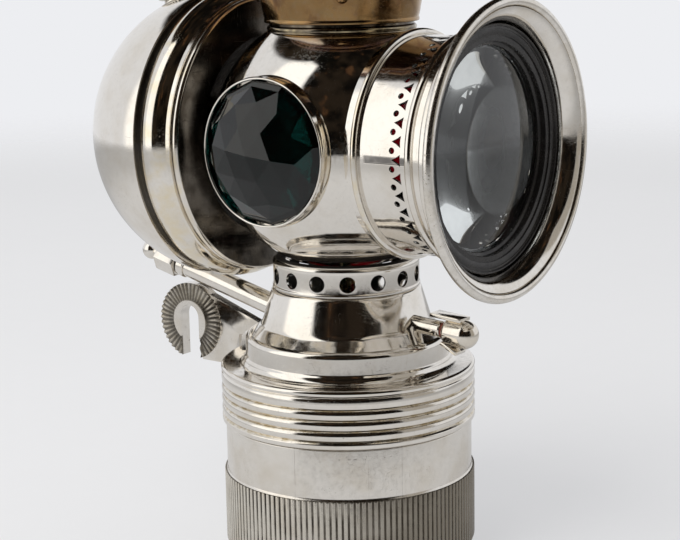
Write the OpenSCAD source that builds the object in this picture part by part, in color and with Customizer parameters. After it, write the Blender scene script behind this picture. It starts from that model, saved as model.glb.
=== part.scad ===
// Carbide bicycle lamp: a globe head over a screw-on carbide container, a water tank behind
// the head, a flared front with a lens, and two side jewels.
// The origin is the centre of the container's underside, +Z is up and the lens faces -Y.

/* [Container] */
// Radius of the plain can above its grip
can_r = 31; // [30:0.1:33]
// How far the knurled grip stands out from the can
grip_out = 0.75; // [0.4:0.05:1]
// Height of the knurled grip
grip_h = 24.2; // [20:0.1:26]
// Radius of the rounded bottom edge
can_corner = 5; // [3:0.1:7]
// Sheet thickness of the can
can_wall = 0.8; // [0.5:0.05:1.2]
// Clear gap between the can's neck and the skirt that it screws into
thread_gap = 0.25; // [0.15:0.05:0.4]
// How far the can's neck is drawn in under its shoulder
neck_step = 0.9; // [0.7:0.05:1.2]
// Radius of the inner carbide cup
cup_r = 27.4; // [20:0.1:28]
// Depth of the inner carbide cup
cup_h = 26; // [18:0.5:30]
// Height of the bow spring under the cup
bow_h = 4.6; // [3:0.1:7]
// Thickness of the rubber gasket
gasket_t = 2; // [1.2:0.1:2.5]

/* [Gas dome] */
// Height of the skirt's lower edge above the base
skirt_z = 36.5; // [34:0.1:38]
// Sheet thickness of the skirt and the dome
dome_wall = 0.9; // [0.6:0.05:1.2]
// How far the rolled ribs stand out from the skirt
rib_out = 0.6; // [0.3:0.05:0.8]
// Height of the plain hem under the ribs
hem_h = 1.9; // [1.2:0.1:2.5]
// Pitch of the rolled ribs
rib_pitch = 2.6; // [2:0.05:3]
// Number of rolled ribs
rib_count = 3; // [2:1:4]
// Height of the plain band over the ribs
belt_h = 3.1; // [2:0.1:4]
// Height of the rolled lip over that band
lip_h = 1.7; // [1.2:0.1:2.2]
// Radius of the shoulder
shoulder_r = 25.6; // [24.5:0.1:26.5]
// Height of the shoulder's upright wall
shoulder_h = 4.4; // [3.5:0.1:6]
// Height of the cove between the lip and the shoulder
cove_h = 1.5; // [1:0.1:2]
// Radius of the roll over the shoulder
roll_r = 1.5; // [1:0.1:2]
// Height of the dome's cone over the roll
cone_h = 11.9; // [10:0.1:14]
// Radius of the cone's waist, where it turns steep
waist_r = 21.3; // [20.5:0.1:22]

/* [Air gallery] */
// Radius of the air gallery under the head
gallery_r = 18.3; // [17:0.1:19.5]
// Height of the air gallery
gallery_h = 7.6; // [6.5:0.1:9]
// Sheet thickness of the air gallery
gallery_wall = 0.8; // [0.5:0.05:1.2]
// Diameter of the air holes
air_hole_d = 4; // [3:0.1:5]
// Number of air holes
air_holes = 15; // [12:1:16]

/* [Head] */
// Height of the head's axis above the base
head_z = 106.4; // [105:0.1:107]
// Radius of the globe
globe_r = 32.3; // [31.6:0.1:33]
// Sheet thickness of the globe
globe_wall = 0.7; // [0.5:0.05:1]
// Radius of the red and green jewels
jewel_r = 17; // [15:0.1:17.5]
// Height of a jewel's cut crown over its girdle
jewel_crown = 6.6; // [4:0.1:8]
// Turn of the jewels' facets about their axis
facet_turn = 23; // [0:1:59]
// Distance of a bezel's face from the head's centre
bezel_x = 31; // [30:0.1:32.5]
// Distance of the jewels behind the chimney's axis
jewel_y = 1; // [0:0.1:2]
// Sheet thickness of a bezel
bezel_wall = 0.8; // [0.5:0.05:1.2]

/* [Front] */
// Radius of the perforated band
band_r = 26; // [25.5:0.1:26.6]
// Sheet thickness of the band
band_wall = 0.7; // [0.5:0.05:1]
// Distance of the band's rear bead ahead of the chimney's axis
bead_y = 22.4; // [21.5:0.1:24]
// Radius of the wire bead round the band
bead_wire = 0.9; // [0.7:0.05:1.2]
// Distance of the opening joint ahead of the chimney's axis
joint_y = 36.1; // [35.6:0.1:37.2]
// Diameter of the round perforations
dot_d = 1.5; // [1.2:0.05:1.8]
// Side of the three-cornered perforations
tri_side = 2.6; // [2:0.05:3]
// Number of perforations of each kind
perforations = 39; // [30:1:41]
// Distance of the round perforations behind the joint
dot_back = 3.8; // [3.6:0.1:4.6]
// Distance of the three-cornered perforations behind the joint
tri_back = 2.3; // [2.2:0.1:2.8]
// Radius of the bell's rim, to the middle of its rolled edge
bell_r = 34.4; // [33:0.1:36]
// Radius of the rolled edge
rim_wire = 1.2; // [0.9:0.05:1.5]
// Distance of the rolled edge ahead of the joint
bell_reach = 11.3; // [10.6:0.1:13]
// Radius of the bell's throat
throat_r = 29.9; // [29.4:0.1:30.6]
// Distance of the throat ahead of the joint
throat_reach = 6.1; // [5.6:0.1:6.6]
// Sheet thickness of the bell
bell_wall = 0.8; // [0.6:0.05:1]
// Radius of the lens
lens_r = 25.4; // [24.8:0.05:25.5]
// Thickness of the lens at its edge
lens_edge = 2.2; // [1.6:0.1:2.6]
// How far the lens bulges forward
lens_front = 3; // [2:0.1:3.4]
// How far the lens bulges rearward
lens_back = 6; // [4:0.1:7]
// Radius of the lens's rear bulge
bulge_r = 23; // [21:0.1:23.4]
// Radius of the hinge barrel
barrel_r = 1.5; // [1.3:0.05:1.7]
// Length of the hinge barrel
barrel_h = 15; // [12:0.1:18]
// Radius of the hinge pin
pin_r = 0.7; // [0.5:0.05:0.8]

/* [Chimney] */
// Height of the chimney's neck over the head's axis
neck_top = 27.8; // [27.5:0.1:29.5]
// Radius of the neck's bead
neck_r = 17.9; // [17.4:0.1:18.2]
// Height of the brass cowl
cowl_h = 17; // [14:0.5:22]
// Radius of the cowl at its foot
cowl_foot_r = 18.6; // [18.4:0.1:19.2]
// Radius of the cowl at its top
cowl_top_r = 21.6; // [20.4:0.1:22.2]
// Sheet thickness of the cowl
cowl_wall = 0.7; // [0.5:0.05:1]
// Diameter of the vent holes
vent_d = 3.4; // [2.5:0.1:4]
// Number of vent holes
vents = 16; // [12:1:18]
// How far the cap overhangs the cowl
cap_over = 2.4; // [1.5:0.1:3.5]
// Height of the cap's dome
cap_h = 8; // [6:0.1:11]
// Diameter of a rivet head
rivet_d = 3; // [2.4:0.1:3.6]
// Height of the cowl's rivets over its foot
rivet_up = 6.3; // [3:0.1:8]

/* [Water tank] */
// Radius of the tank's rear dome
tank_r = 37.3; // [36.8:0.1:38]
// Distance of the dome's centre behind the chimney's axis
tank_y = 33.4; // [33:0.1:34]
// Sheet thickness of the tank
tank_wall = 0.7; // [0.5:0.05:1]
// Distance of the seam behind the chimney's axis
seam_y = 34.7; // [34.4:0.1:35.5]
// Depth of the groove along the seam
seam_depth = 1.6; // [1.2:0.1:2]
// Length of the tank's front band
tank_band = 11.5; // [10.5:0.1:12]
// Radius of the tank's front edge
tank_front_r = 34.6; // [33.8:0.1:35.2]
// Clear gap between the globe and the tank's dished front
dish_gap = 2.2; // [1.5:0.1:3]
// Radius of the pad that joins the tank and the globe
pad_r = 8; // [6:0.1:10]
// Lean of the filler behind the vertical
filler_lean = 28; // [26:0.5:34]
// Bore radius of the filler
filler_bore = 4; // [3.4:0.1:4.4]
// Height of the filler's neck
filler_h = 6.5; // [5.5:0.1:8]
// Radius of the filler cap
filler_cap_r = 6.4; // [6:0.1:7.5]
// Height of the filler cap
filler_cap_h = 6; // [5:0.1:7]

/* [Water feed] */
// Height of the water tube's axis at its root in the cone
feed_z = 60.7; // [60.2:0.1:61.6]
// Rise of the water tube towards the tank
feed_rise = 14.2; // [14:0.1:15]
// Radius of the water tube
feed_r = 2.9; // [2.6:0.05:3]
// Bore radius of the water tube
feed_bore = 1.7; // [1.4:0.05:1.8]
// Length of the water tube
feed_len = 33.9; // [33.2:0.1:34.7]
// Length of the valve body
valve_len = 3; // [2.5:0.1:4]
// Radius of the valve body
valve_r = 3.3; // [3.1:0.05:3.8]
// Width across the flats of the gland nut
gland_af = 7.4; // [6.8:0.1:8]
// Length of the gland nut
gland_len = 6.6; // [5:0.1:7.5]
// Radius of the valve spindle
spindle_r = 1.1; // [0.9:0.05:1.2]
// Length of the valve's needle
needle_len = 9; // [8:0.1:10]
// Radius of the needle's stem
needle_r = 0.9; // [0.7:0.05:1.1]
// Radius of the hole in the needle's seat
seat_hole = 0.8; // [0.6:0.05:0.9]
// Length of the needle's seat
seat_len = 2.5; // [1.5:0.1:3.5]
// Length of the spindle that shows behind the gland nut
spindle_show = 1.6; // [1.2:0.1:3]
// Radius of the valve's ball knob
thumb_r = 2.7; // [2.2:0.1:3.4]

/* [Bracket] */
// Thickness of the bracket plate
plate_t = 2.4; // [2:0.1:3]
// Distance of the bolt slot behind the chimney's axis
slot_y = 50.9; // [50:0.1:52.5]
// Height of the serrated boss's centre
boss_z = 54.6; // [53.5:0.1:55]
// Radius of the serrated boss
boss_r = 10.3; // [9.8:0.1:10.6]
// How far the boss stands out from the plate
boss_out = 1.2; // [0.8:0.1:1.6]
// Width of the bolt slot
slot_w = 6.5; // [6:0.1:7]
// Height of the slot's round end over the boss's centre
slot_up = 1.2; // [0.5:0.1:2]
// Width of the smooth land round the slot
land_w = 2.4; // [1.5:0.1:2.8]
// Depth of the serrations
tooth_depth = 0.6; // [0.4:0.05:0.8]
// Number of serrations in a full circle
teeth = 44; // [36:1:48]
// Thickness of the curved foot on the shoulder
foot_t = 1.2; // [0.8:0.05:1.6]
// Half of the angle that the curved foot wraps
foot_angle = 32; // [28:1:40]

/* [Relief screw] */
// Height of the relief nipple's axis where it leaves the cone
relief_z = 62.6; // [62:0.1:63.2]
// Droop of the relief nipple
relief_droop = 4; // [2:0.5:6]
// Distance of the nipple's end ahead of the chimney's axis
relief_y = 28.6; // [28.2:0.1:30]
// Radius of the relief nipple
relief_r = 2.05; // [1.8:0.05:2.3]
// Radius of the screw's shank
shank_r = 1; // [0.8:0.05:1.1]
// Radius of the screw's round head
knob_r = 3.5; // [3:0.1:4]
// Length of the screw's round head
knob_len = 5; // [4:0.1:6]
// Thickness of the screw's two ears
ear_t = 0.9; // [0.7:0.05:1.1]
// Width of the ears
ear_w = 4.4; // [3.6:0.1:5]
// How far the upper ear reaches back over the nipple
ear_back = 3.8; // [3:0.1:4]

/* [Burner] */
// Radius of the burner pillar
pillar_r = 2.2; // [1.8:0.05:2.6]
// Height of the flame under the head's axis
flame_drop = 1; // [0:0.1:3]
// Half of the distance between the burner tips
tip_x = 6.5; // [5:0.1:8]
// Radius of a burner tip
tip_r = 1.9; // [1.5:0.05:2.2]

/* [Fits] */
// Clear gap between a piece and its seat
seat_gap = 0.25; // [0.15:0.05:0.35]
// Clear gap round a turning shank or pin
run_gap = 0.05; // [0.03:0.01:0.09]

/* [Hidden] */

$fn = 64;
eps = 0.01;

// Heights of the generator, from the base up
neck_r_can = can_r - neck_step;
skirt_in = neck_r_can + thread_gap;
skirt_out = can_r + 0.3;
grip_r = can_r + grip_out;
ribs_z = skirt_z + hem_h;
belt_z = ribs_z + rib_pitch * rib_count;
lip_z = belt_z + belt_h;
cove_z = lip_z + lip_h;
wall_z = cove_z + cove_h;
roll_z = wall_z + shoulder_h;
cone_z = roll_z + roll_r;
gallery_z = cone_z + cone_h;
ceiling_z = cove_z - dome_wall;
can_top = ceiling_z - gasket_t - 2 * seat_gap;
cup_z = can_wall + bow_h + 2 * seat_gap;

// Front, measured along the head's axis ahead of the chimney
spigot = 1.5;
bell_bead = 1.1;
bell_low = 0.2;
sleeve_in = band_r - 0.2;
sleeve_out = sleeve_in + bell_wall;
spigot_out = sleeve_in - 0.3;
spigot_in = spigot_out - band_wall;
lens_y = joint_y + spigot + seat_gap;
seat_top = lens_y - joint_y + lens_edge + seat_gap;
pivot_x = band_r + barrel_r + 1.6;

// Tank
seam_r = sqrt(tank_r * tank_r - pow(seam_y + 0.8 - tank_y, 2));
dish_r = globe_r + dish_gap;

// Depth of the tube's root and of the nipple's root in the cone
feed_root = 2.4;
relief_root = 1.6;

// Water outlet, where the tube passes under the tank
outlet_y = seam_y + 11.5;
outlet_z = feed_z + (outlet_y - cone_r(feed_z - cone_z) + feed_root) * tan(feed_rise);

// Places along the water tube
needle_low = feed_len - 2.2 - needle_len;
knob_low = feed_len + valve_len + seat_gap + gland_len + spindle_show;

// Chimney heights
neck_z = head_z + neck_top;
cowl_z = neck_z + 0.9;
cowl_top = cowl_z + cowl_h;
cap_r = cowl_top_r + cap_over;
cap_z = cowl_top + 1.6;
cap_dome_r = (cap_r * cap_r + cap_h * cap_h) / (2 * cap_h);

// Round pieces of an outline: points along an arc from angle a to angle b
function arc(x, y, r, a, b, steps = 8) =
    [for (i = [0:steps]) let (t = a + (b - a) * i / steps) [x + r * cos(t), y + r * sin(t)]];

// Points of a closed wall: an outline that goes out along one side and back along the other
function wall(outer, inner) = concat(outer, [for (i = [len(inner) - 1:-1:0]) inner[i]]);

// A shape turned about the head's axis, with its height pointing forward
module forward() {
    translate([0, 0, head_z])
        rotate([90, 0, 0])
            children();
}

// A shape turned about the head's axis, with its height pointing rearward
module rearward() {
    translate([0, 0, head_z])
        rotate([-90, 0, 0])
            children();
}

// A shape on a side of the head, with its height pointing away from the head
module sideward(side) {
    translate([0, jewel_y, head_z])
        rotate([0, 90 * side, 0])
            children();
}

// A plain tube
module tube(r_out, r_in, h) {
    difference() {
        cylinder(r = r_out, h = h);
        translate([0, 0, -1])
            cylinder(r = r_in, h = h + 2);
    }
}

// Copies of a shape round an axis
module ring_of(count, start = 0) {
    for (i = [0:count - 1])
        rotate([0, 0, start + i * 360 / count])
            children();
}

// CONTAINER

module carbide_container() {
    outer = concat(
        [[0, 0]],
        arc(grip_r - can_corner, can_corner, can_corner, -90, 0),
        [
            [grip_r, grip_h - grip_out],
            [can_r, grip_h],
            [can_r, skirt_z - seat_gap],
            [neck_r_can, skirt_z - seat_gap],
            [neck_r_can, can_top]
        ]);
    inner = concat(
        [[0, can_wall]],
        arc(grip_r - can_corner, can_corner, can_corner - can_wall, -90, 0),
        [
            [can_r - can_wall, grip_h],
            [can_r - can_wall, skirt_z - 3],
            [neck_r_can - can_wall, skirt_z - 2],
            [neck_r_can - can_wall, can_top]
        ]);
    color("silver")
        rotate_extrude($fn = 96)
            polygon(wall(outer, inner));
}

module carbide_cup() {
    color("darkgray")
        translate([0, 0, cup_z])
            difference() {
                cylinder(r = cup_r, h = cup_h);
                translate([0, 0, can_wall])
                    cylinder(r = cup_r - can_wall, h = cup_h);
            }
}

// Two crossed leaves, bowed up in the middle, between the can's floor and the cup
module bow_spring() {
    leaf_t = 0.6;
    leaf_w = 7;
    half = cup_r - 7;
    rise = bow_h - leaf_t;
    bow_r = (half * half + rise * rise) / (2 * rise);
    top = can_wall + seat_gap + bow_h;
    color("dimgray")
        intersection() {
            union()
                for (turn = [0, 90])
                    rotate([0, 0, turn])
                        translate([0, leaf_w / 2, top - bow_r])
                            rotate([90, 0, 0])
                                difference() {
                                    cylinder(r = bow_r, h = leaf_w, $fn = 256);
                                    translate([0, 0, -1])
                                        cylinder(r = bow_r - leaf_t, h = leaf_w + 2, $fn = 256);
                                }
            translate([0, 0, can_wall + seat_gap])
                cylinder(r = half + 1, h = bow_h + 1);
        }
}

module container_gasket() {
    color("saddlebrown")
        translate([0, 0, can_top + seat_gap])
            tube(neck_r_can - 0.1, neck_r_can - 4, gasket_t);
}

// GAS DOME

// Outer radius of the cone at a height over the roll
function cone_r(h) = h < 2.6
    ? shoulder_r - roll_r + (waist_r - shoulder_r + roll_r) * h / 2.6
    : waist_r + (gallery_r + 0.2 - waist_r) * (h - 2.6) / (cone_h - 2.6);

module gas_dome() {
    rib = [for (k = [0:rib_count - 1]) each
        arc(skirt_out, ribs_z + rib_pitch * (k + 0.5), rib_pitch * 0.42, -70, 70, 6)];
    rib_points = [for (q = rib)
        [skirt_out + (q[0] - skirt_out) * rib_out / (rib_pitch * 0.42), q[1]]];
    cone_steps = [for (h = [0, 1.3, 2.6, cone_h * 0.5, cone_h]) [cone_r(h), cone_z + h]];
    outer = concat(
        [[skirt_out, skirt_z], [skirt_out + rib_out, skirt_z + 0.5]],
        [[skirt_out + rib_out, ribs_z - 0.5], [skirt_out, ribs_z]],
        rib_points,
        [[skirt_out, belt_z], [skirt_out + rib_out, belt_z + 0.5]],
        [[skirt_out + rib_out, lip_z - 0.3], [skirt_out, lip_z]],
        arc(skirt_out - 0.2, lip_z + lip_h / 2, lip_h / 2, -60, 90),
        [[shoulder_r + 2, cove_z]],
        arc(shoulder_r + 2, wall_z, cove_h, -90, -180, 5),
        [[shoulder_r, wall_z + 0.5], [shoulder_r, roll_z]],
        arc(shoulder_r - roll_r, roll_z, roll_r, 0, 90, 5),
        cone_steps,
        [[0, gallery_z]]);
    inner = concat(
        [[skirt_in, skirt_z], [skirt_in, ceiling_z]],
        [[shoulder_r - dome_wall, ceiling_z], [shoulder_r - dome_wall, roll_z - 0.5]],
        [for (q = cone_steps) [q[0] - dome_wall - 0.25, q[1] - dome_wall]],
        [[0, gallery_z - dome_wall]]);
    color("gainsboro")
        difference() {
            rotate_extrude($fn = 96)
                polygon(wall(outer, inner));
            along_feed()
                cylinder(r = feed_r, h = feed_len);
            along_relief()
                cylinder(r = relief_r, h = relief_y);
            translate([0, 0, gallery_z - 3])
                cylinder(r = pillar_r, h = 6);
        }
}

module gas_filter() {
    color("ivory")
        translate([0, 0, gallery_z - dome_wall - seat_gap - 3.4])
            tube(gallery_r - dome_wall - 1.6, pillar_r + seat_gap, 3.4);
}

// The drip tube carries the water from the root of the water tube to the middle of the cup
module drip_tube() {
    drop_r = feed_bore + 0.5;
    bend_z = feed_z - 0.85 * (feed_r - drop_r);
    tip_z = cup_z + cup_h + 4;
    root_y = cone_r(feed_z - cone_z) - feed_root;
    color("peru")
        difference() {
            union() {
                translate([0, 0, tip_z])
                    cylinder(r = drop_r, h = bend_z - tip_z);
                translate([0, 0, bend_z])
                    sphere(r = drop_r);
                translate([0, 0, bend_z])
                    rotate([-90, 0, 0])
                        cylinder(r = drop_r, h = root_y + 0.8);
            }
            translate([0, 0, tip_z - 1])
                cylinder(r = drop_r - 0.6, h = bend_z - tip_z + 1);
            translate([0, 0, bend_z])
                rotate([-90, 0, 0])
                    cylinder(r = drop_r - 0.6, h = root_y + 2);
            along_feed()
                cylinder(r = feed_r + eps, h = feed_len);
        }
}

// HEAD

module air_gallery() {
    top_in = gallery_r - 2.4;
    outer = concat(
        [[gallery_r, 0], [gallery_r, gallery_h - 1.4]],
        arc(gallery_r - 1, gallery_h - 1.4, 1, 0, 90, 4),
        [[top_in, gallery_h]]);
    inner = [
        [gallery_r - gallery_wall, 0],
        [gallery_r - gallery_wall, gallery_h - 1.6],
        [top_in - gallery_wall, gallery_h - gallery_wall]
    ];
    color("gainsboro")
        difference() {
            translate([0, 0, gallery_z])
                rotate_extrude($fn = 96)
                    polygon(wall(outer, inner));
            translate([0, 0, gallery_z + 3.2])
                ring_of(air_holes, 1.4)
                    translate([gallery_r - 3, 0, 0])
                        rotate([0, 90, 0])
                            cylinder(d = air_hole_d, h = 5);
            translate([0, 0, head_z])
                sphere(r = globe_r, $fn = 96);
        }
}

module head_globe() {
    color("gainsboro")
        difference() {
            translate([0, 0, head_z])
                sphere(r = globe_r, $fn = 128);
            translate([0, 0, head_z])
                sphere(r = globe_r - globe_wall, $fn = 128);
            cylinder(r = gallery_r - 4, h = head_z);
            translate([0, 0, head_z])
                cylinder(r = neck_r - 1.2, h = globe_r + 1);
            forward()
                cylinder(r = band_r, h = globe_r + 1);
            for (side = [-1, 1])
                sideward(side)
                    cylinder(r = jewel_r + bezel_wall, h = globe_r + 1);
        }
}

module bezel(side) {
    foot = sqrt(globe_r * globe_r - pow(jewel_r + bezel_wall, 2)) - 2.2;
    outer = [
        [jewel_r + bezel_wall, foot],
        [jewel_r + bezel_wall, bezel_x - 0.3],
        [jewel_r + bezel_wall - 0.3, bezel_x],
        [jewel_r - 0.5, bezel_x]
    ];
    inner = [
        [jewel_r - 1.4, foot],
        [jewel_r - 1.4, bezel_x - 2.6 - seat_gap],
        [jewel_r + seat_gap / 3, bezel_x - 2.6 - seat_gap],
        [jewel_r + seat_gap / 3, bezel_x - 0.6],
        [jewel_r - 0.5, bezel_x - 0.4]
    ];
    color("silver")
        sideward(side)
            rotate_extrude($fn = 96)
                polygon(wall(outer, inner));
}

module green_bezel() bezel(-1);
module red_bezel() bezel(1);

// A ring of corners of a rose cut: the edge has 12, the crown a ring of 12, a ring of 6 and a point
function rose_ring(n, r, h, turn) =
    [for (i = [0:n - 1]) let (t = turn + i * 360 / n) [r * cos(t), r * sin(t), h]];

module jewel(side, tint) {
    low = bezel_x - 2.6;
    girdle = bezel_x - 0.75;
    points = concat(
        rose_ring(12, jewel_r, low, facet_turn - 15),
        rose_ring(12, jewel_r, girdle, facet_turn - 15),
        rose_ring(12, jewel_r - 1.4, girdle + 1, facet_turn - 15),
        rose_ring(12, jewel_r * 0.72, girdle + jewel_crown * 0.58, facet_turn),
        rose_ring(6, jewel_r * 0.39, girdle + jewel_crown * 0.88, facet_turn),
        [[0, 0, girdle + jewel_crown]]);
    base = [[for (i = [0:11]) i]];
    sides = [for (i = [0:11]) each [[(i + 1) % 12, i, 12 + i], [(i + 1) % 12, 12 + i, 12 + (i + 1) % 12]]];
    edge = [for (i = [0:11]) each
        [[12 + (i + 1) % 12, 12 + i, 24 + i], [12 + (i + 1) % 12, 24 + i, 24 + (i + 1) % 12]]];
    skirt = [for (i = [0:11]) each
        [[24 + (i + 1) % 12, 24 + i, 36 + i], [24 + (i + 1) % 12, 36 + i, 36 + (i + 1) % 12]]];
    crown = [for (k = [0:5]) each [
        [37 + 2 * k, 36 + 2 * k, 48 + k],
        [36 + (2 * k + 2) % 12, 37 + 2 * k, 48 + (k + 1) % 6],
        [37 + 2 * k, 48 + k, 48 + (k + 1) % 6]]];
    star = [for (k = [0:5]) [48 + (k + 1) % 6, 48 + k, 54]];
    color(tint)
        sideward(side)
            polyhedron(points, concat(base, sides, edge, skirt, crown, star));
}

module green_jewel() jewel(-1, "darkgreen");
module red_jewel() jewel(1, "darkred");

// A dished mirror behind the flame, with a flange that seats in the globe
module reflector() {
    flange_y = jewel_y + jewel_r + bezel_wall + 1.2;
    flange_r = sqrt(pow(globe_r - globe_wall, 2) - pow(flange_y + 0.6, 2)) - seat_gap;
    dish_r = 24;
    dish_y = globe_r - globe_wall - 2 - dish_r;
    reach = sqrt(dish_r * dish_r - pow(flange_y - dish_y, 2));
    color("whitesmoke")
        difference() {
            union() {
                intersection() {
                    translate([0, dish_y, head_z])
                        sphere(r = dish_r);
                    translate([-dish_r, flange_y, head_z - dish_r])
                        cube([2 * dish_r, dish_r, 2 * dish_r]);
                }
                rearward()
                    translate([0, 0, flange_y])
                        cylinder(r = flange_r, h = 0.6);
            }
            translate([0, dish_y, head_z])
                sphere(r = dish_r - 0.5);
        }
}

// BURNER

module burner_pillar() {
    low = gallery_z - dome_wall - 5;
    top = head_z - flame_drop - 12;
    color("goldenrod")
        translate([0, 0, low])
            union() {
                tube(pillar_r, pillar_r - 0.8, top - low);
                tube(4, pillar_r - 0.8, 0.9);
            }
}

// A fork with two arms that lean in, so that the two jets meet in a flat flame
module burner_fork() {
    foot_z = head_z - flame_drop - 12;
    color("goldenrod")
        translate([0, 0, foot_z])
            union() {
                cylinder(r = pillar_r + 0.7, h = 4);
                translate([-tip_x - 1.3, 0, 4])
                    rotate([0, 90, 0])
                        cylinder(r = 1.3, h = 2 * tip_x + 2.6);
                for (side = [-1, 1])
                    translate([side * tip_x, 0, 4])
                        cylinder(r = tip_r - 0.4, h = 2.6);
            }
}

module burner_tips() {
    foot_z = head_z - flame_drop - 12 + 6.6;
    color("linen")
        for (side = [-1, 1])
            translate([side * tip_x, 0, foot_z])
                rotate([0, -side * 8, 0])
                    translate([0, 0, 0.3])
                        union() {
                            cylinder(r = tip_r, h = 2.6);
                            translate([0, 0, 2.6])
                                cylinder(r1 = tip_r, r2 = tip_r * 0.55, h = 1.6);
                        }
}

// FRONT

module front_band() {
    start = sqrt(globe_r * globe_r - band_r * band_r) - 1;
    color("gainsboro")
        difference() {
            forward()
                union() {
                    translate([0, 0, start])
                        tube(band_r, band_r - band_wall, joint_y - start);
                    translate([0, 0, joint_y - 1.2])
                        tube(spigot_out, spigot_in, spigot + 1.2);
                    translate([0, 0, joint_y - 1.2])
                        tube(band_r - eps, spigot_in, 1);
                    translate([0, 0, bead_y])
                        rotate_extrude($fn = 96)
                            translate([band_r + 0.6, 0])
                                circle(r = bead_wire, $fn = 24);
                }
            forward()
                translate([0, 0, start - 1])
                    cylinder(r = spigot_in, h = joint_y + 2);
            forward()
                ring_of(perforations)
                    translate([band_r - 3, 0, joint_y - dot_back])
                        rotate([0, 90, 0])
                            cylinder(d = dot_d, h = 5, $fn = 16);
            forward()
                ring_of(perforations, 180 / perforations)
                    translate([band_r - 3, 0, joint_y - tri_back - 0.2])
                        rotate([0, 90, 0])
                            linear_extrude(5)
                                polygon([
                                    [-tri_side * 0.29, -tri_side / 2],
                                    [-tri_side * 0.29, tri_side / 2],
                                    [tri_side * 0.58, 0]
                                ]);
        }
}

// Knuckles of the hinge: the fixed leaf has the two outer ones, the front has the middle one
module knuckle(from, to) {
    translate([pivot_x, -joint_y, head_z + from])
        difference() {
            cylinder(r = barrel_r, h = to - from, $fn = 32);
            translate([0, 0, -1])
                cylinder(r = pin_r + run_gap, h = to - from + 2, $fn = 32);
        }
}

module hinge_leaf_fixed() {
    leaf_h = barrel_h;
    inner_end = barrel_h / 6;
    color("silver")
        difference() {
            union() {
                intersection() {
                    forward()
                        translate([0, 0, bead_y + bead_wire + 0.5])
                            tube(band_r + 0.9, band_r, joint_y - bead_y - bead_wire - 0.8);
                    translate([0, -joint_y, head_z - leaf_h / 2])
                        cube([band_r + 5, 12, leaf_h]);
                }
                for (low = [-barrel_h / 2, inner_end])
                    translate([band_r - 0.3, -joint_y - 0.2 + 0.5, head_z + low])
                        cube([pivot_x - band_r, barrel_r - 0.4, barrel_h / 3]);
                knuckle(-barrel_h / 2, -inner_end);
                knuckle(inner_end, barrel_h / 2);
            }
            forward()
                cylinder(r = band_r + eps, h = joint_y + 1);
            translate([pivot_x, -joint_y, head_z - barrel_h])
                cylinder(r = pin_r + run_gap, h = 2 * barrel_h, $fn = 32);
        }
}

module hinge_pin() {
    color("dimgray")
        translate([pivot_x, -joint_y, head_z - barrel_h / 2 - 0.8])
            union() {
                cylinder(r = pin_r, h = barrel_h + 1.6, $fn = 32);
                cylinder(r = pin_r + 0.5, h = 0.6, $fn = 32);
            }
}

module hinge_leaf_front() {
    inner_end = barrel_h / 6 - seat_gap;
    color("silver")
        difference() {
            union() {
                intersection() {
                    forward()
                        translate([0, 0, joint_y + 0.3])
                            tube(sleeve_out + bell_bead + 0.9, sleeve_out + bell_bead, 2);
                    translate([0, -joint_y - 4, head_z - inner_end])
                        cube([band_r + 4, 5, 2 * inner_end]);
                }
                translate([sleeve_out + 0.9, -joint_y - barrel_r, head_z - inner_end])
                    cube([pivot_x - sleeve_out - 0.9, barrel_r - 0.3, 2 * inner_end]);
                knuckle(-inner_end, inner_end);
            }
            forward()
                translate([0, 0, joint_y])
                    rotate_extrude($fn = 128)
                        polygon(concat(
                            [[0, bell_low]],
                            bell_edge(),
                            [[sleeve_out, bell_low + 4], [0, bell_low + 4]]));
            translate([pivot_x, -joint_y, head_z - barrel_h])
                cylinder(r = pin_r + run_gap, h = 2 * barrel_h, $fn = 32);
        }
}

function bell_edge() = arc(sleeve_out, bell_low + bell_bead, bell_bead, -90, 80, 8);

// The bell: a sleeve over the band's spigot, a small bead, and a flare with a rolled edge
module front_bell() {
    flare = [for (i = [0:8]) let (t = i * 90 / 8)
        [throat_r + (bell_r - throat_r) * (1 - cos(t)), throat_reach + (bell_reach - throat_reach) * sin(t)]];
    outer = concat(
        bell_edge(),
        [
            [sleeve_out, throat_reach - 1.1],
            [throat_r - 0.9, throat_reach - 0.7],
            [throat_r - 0.2, throat_reach - 0.4]
        ],
        flare);
    inner = concat(
        [
            [sleeve_in, bell_low],
            [sleeve_in, throat_reach - 0.3],
            [throat_r - 0.8, throat_reach + 0.1],
            [throat_r - 0.65, throat_reach + 0.5]
        ],
        [for (q = flare) if (q[1] > throat_reach + 0.5) [q[0] - bell_wall * 0.75, q[1] + bell_wall * 0.75]]);
    color("gainsboro")
        forward()
            translate([0, 0, joint_y])
                union() {
                    rotate_extrude($fn = 128)
                        polygon(wall(outer, inner));
                    translate([0, 0, bell_reach])
                        rotate_extrude($fn = 128)
                            translate([bell_r - 0.3, 0])
                                circle(r = rim_wire, $fn = 24);
                }
}

module lens() {
    function cap(sag, r) = (r * r + sag * sag) / (2 * sag);
    color("lightsteelblue", 0.5)
        forward()
            translate([0, 0, lens_y])
                union() {
                    cylinder(r = lens_r, h = lens_edge, $fn = 96);
                    intersection() {
                        translate([0, 0, lens_edge - eps])
                            cylinder(r = lens_r - 1.5, h = lens_front + 1, $fn = 96);
                        translate([0, 0, lens_edge + lens_front - cap(lens_front, lens_r)])
                            sphere(r = cap(lens_front, lens_r), $fn = 96);
                    }
                    intersection() {
                        translate([0, 0, -lens_back - 1])
                            cylinder(r = bulge_r, h = lens_back + 1 + eps, $fn = 96);
                        translate([0, 0, cap(lens_back, bulge_r + 0.5) - lens_back])
                            sphere(r = cap(lens_back, bulge_r + 0.5), $fn = 96);
                    }
                }
}

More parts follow.
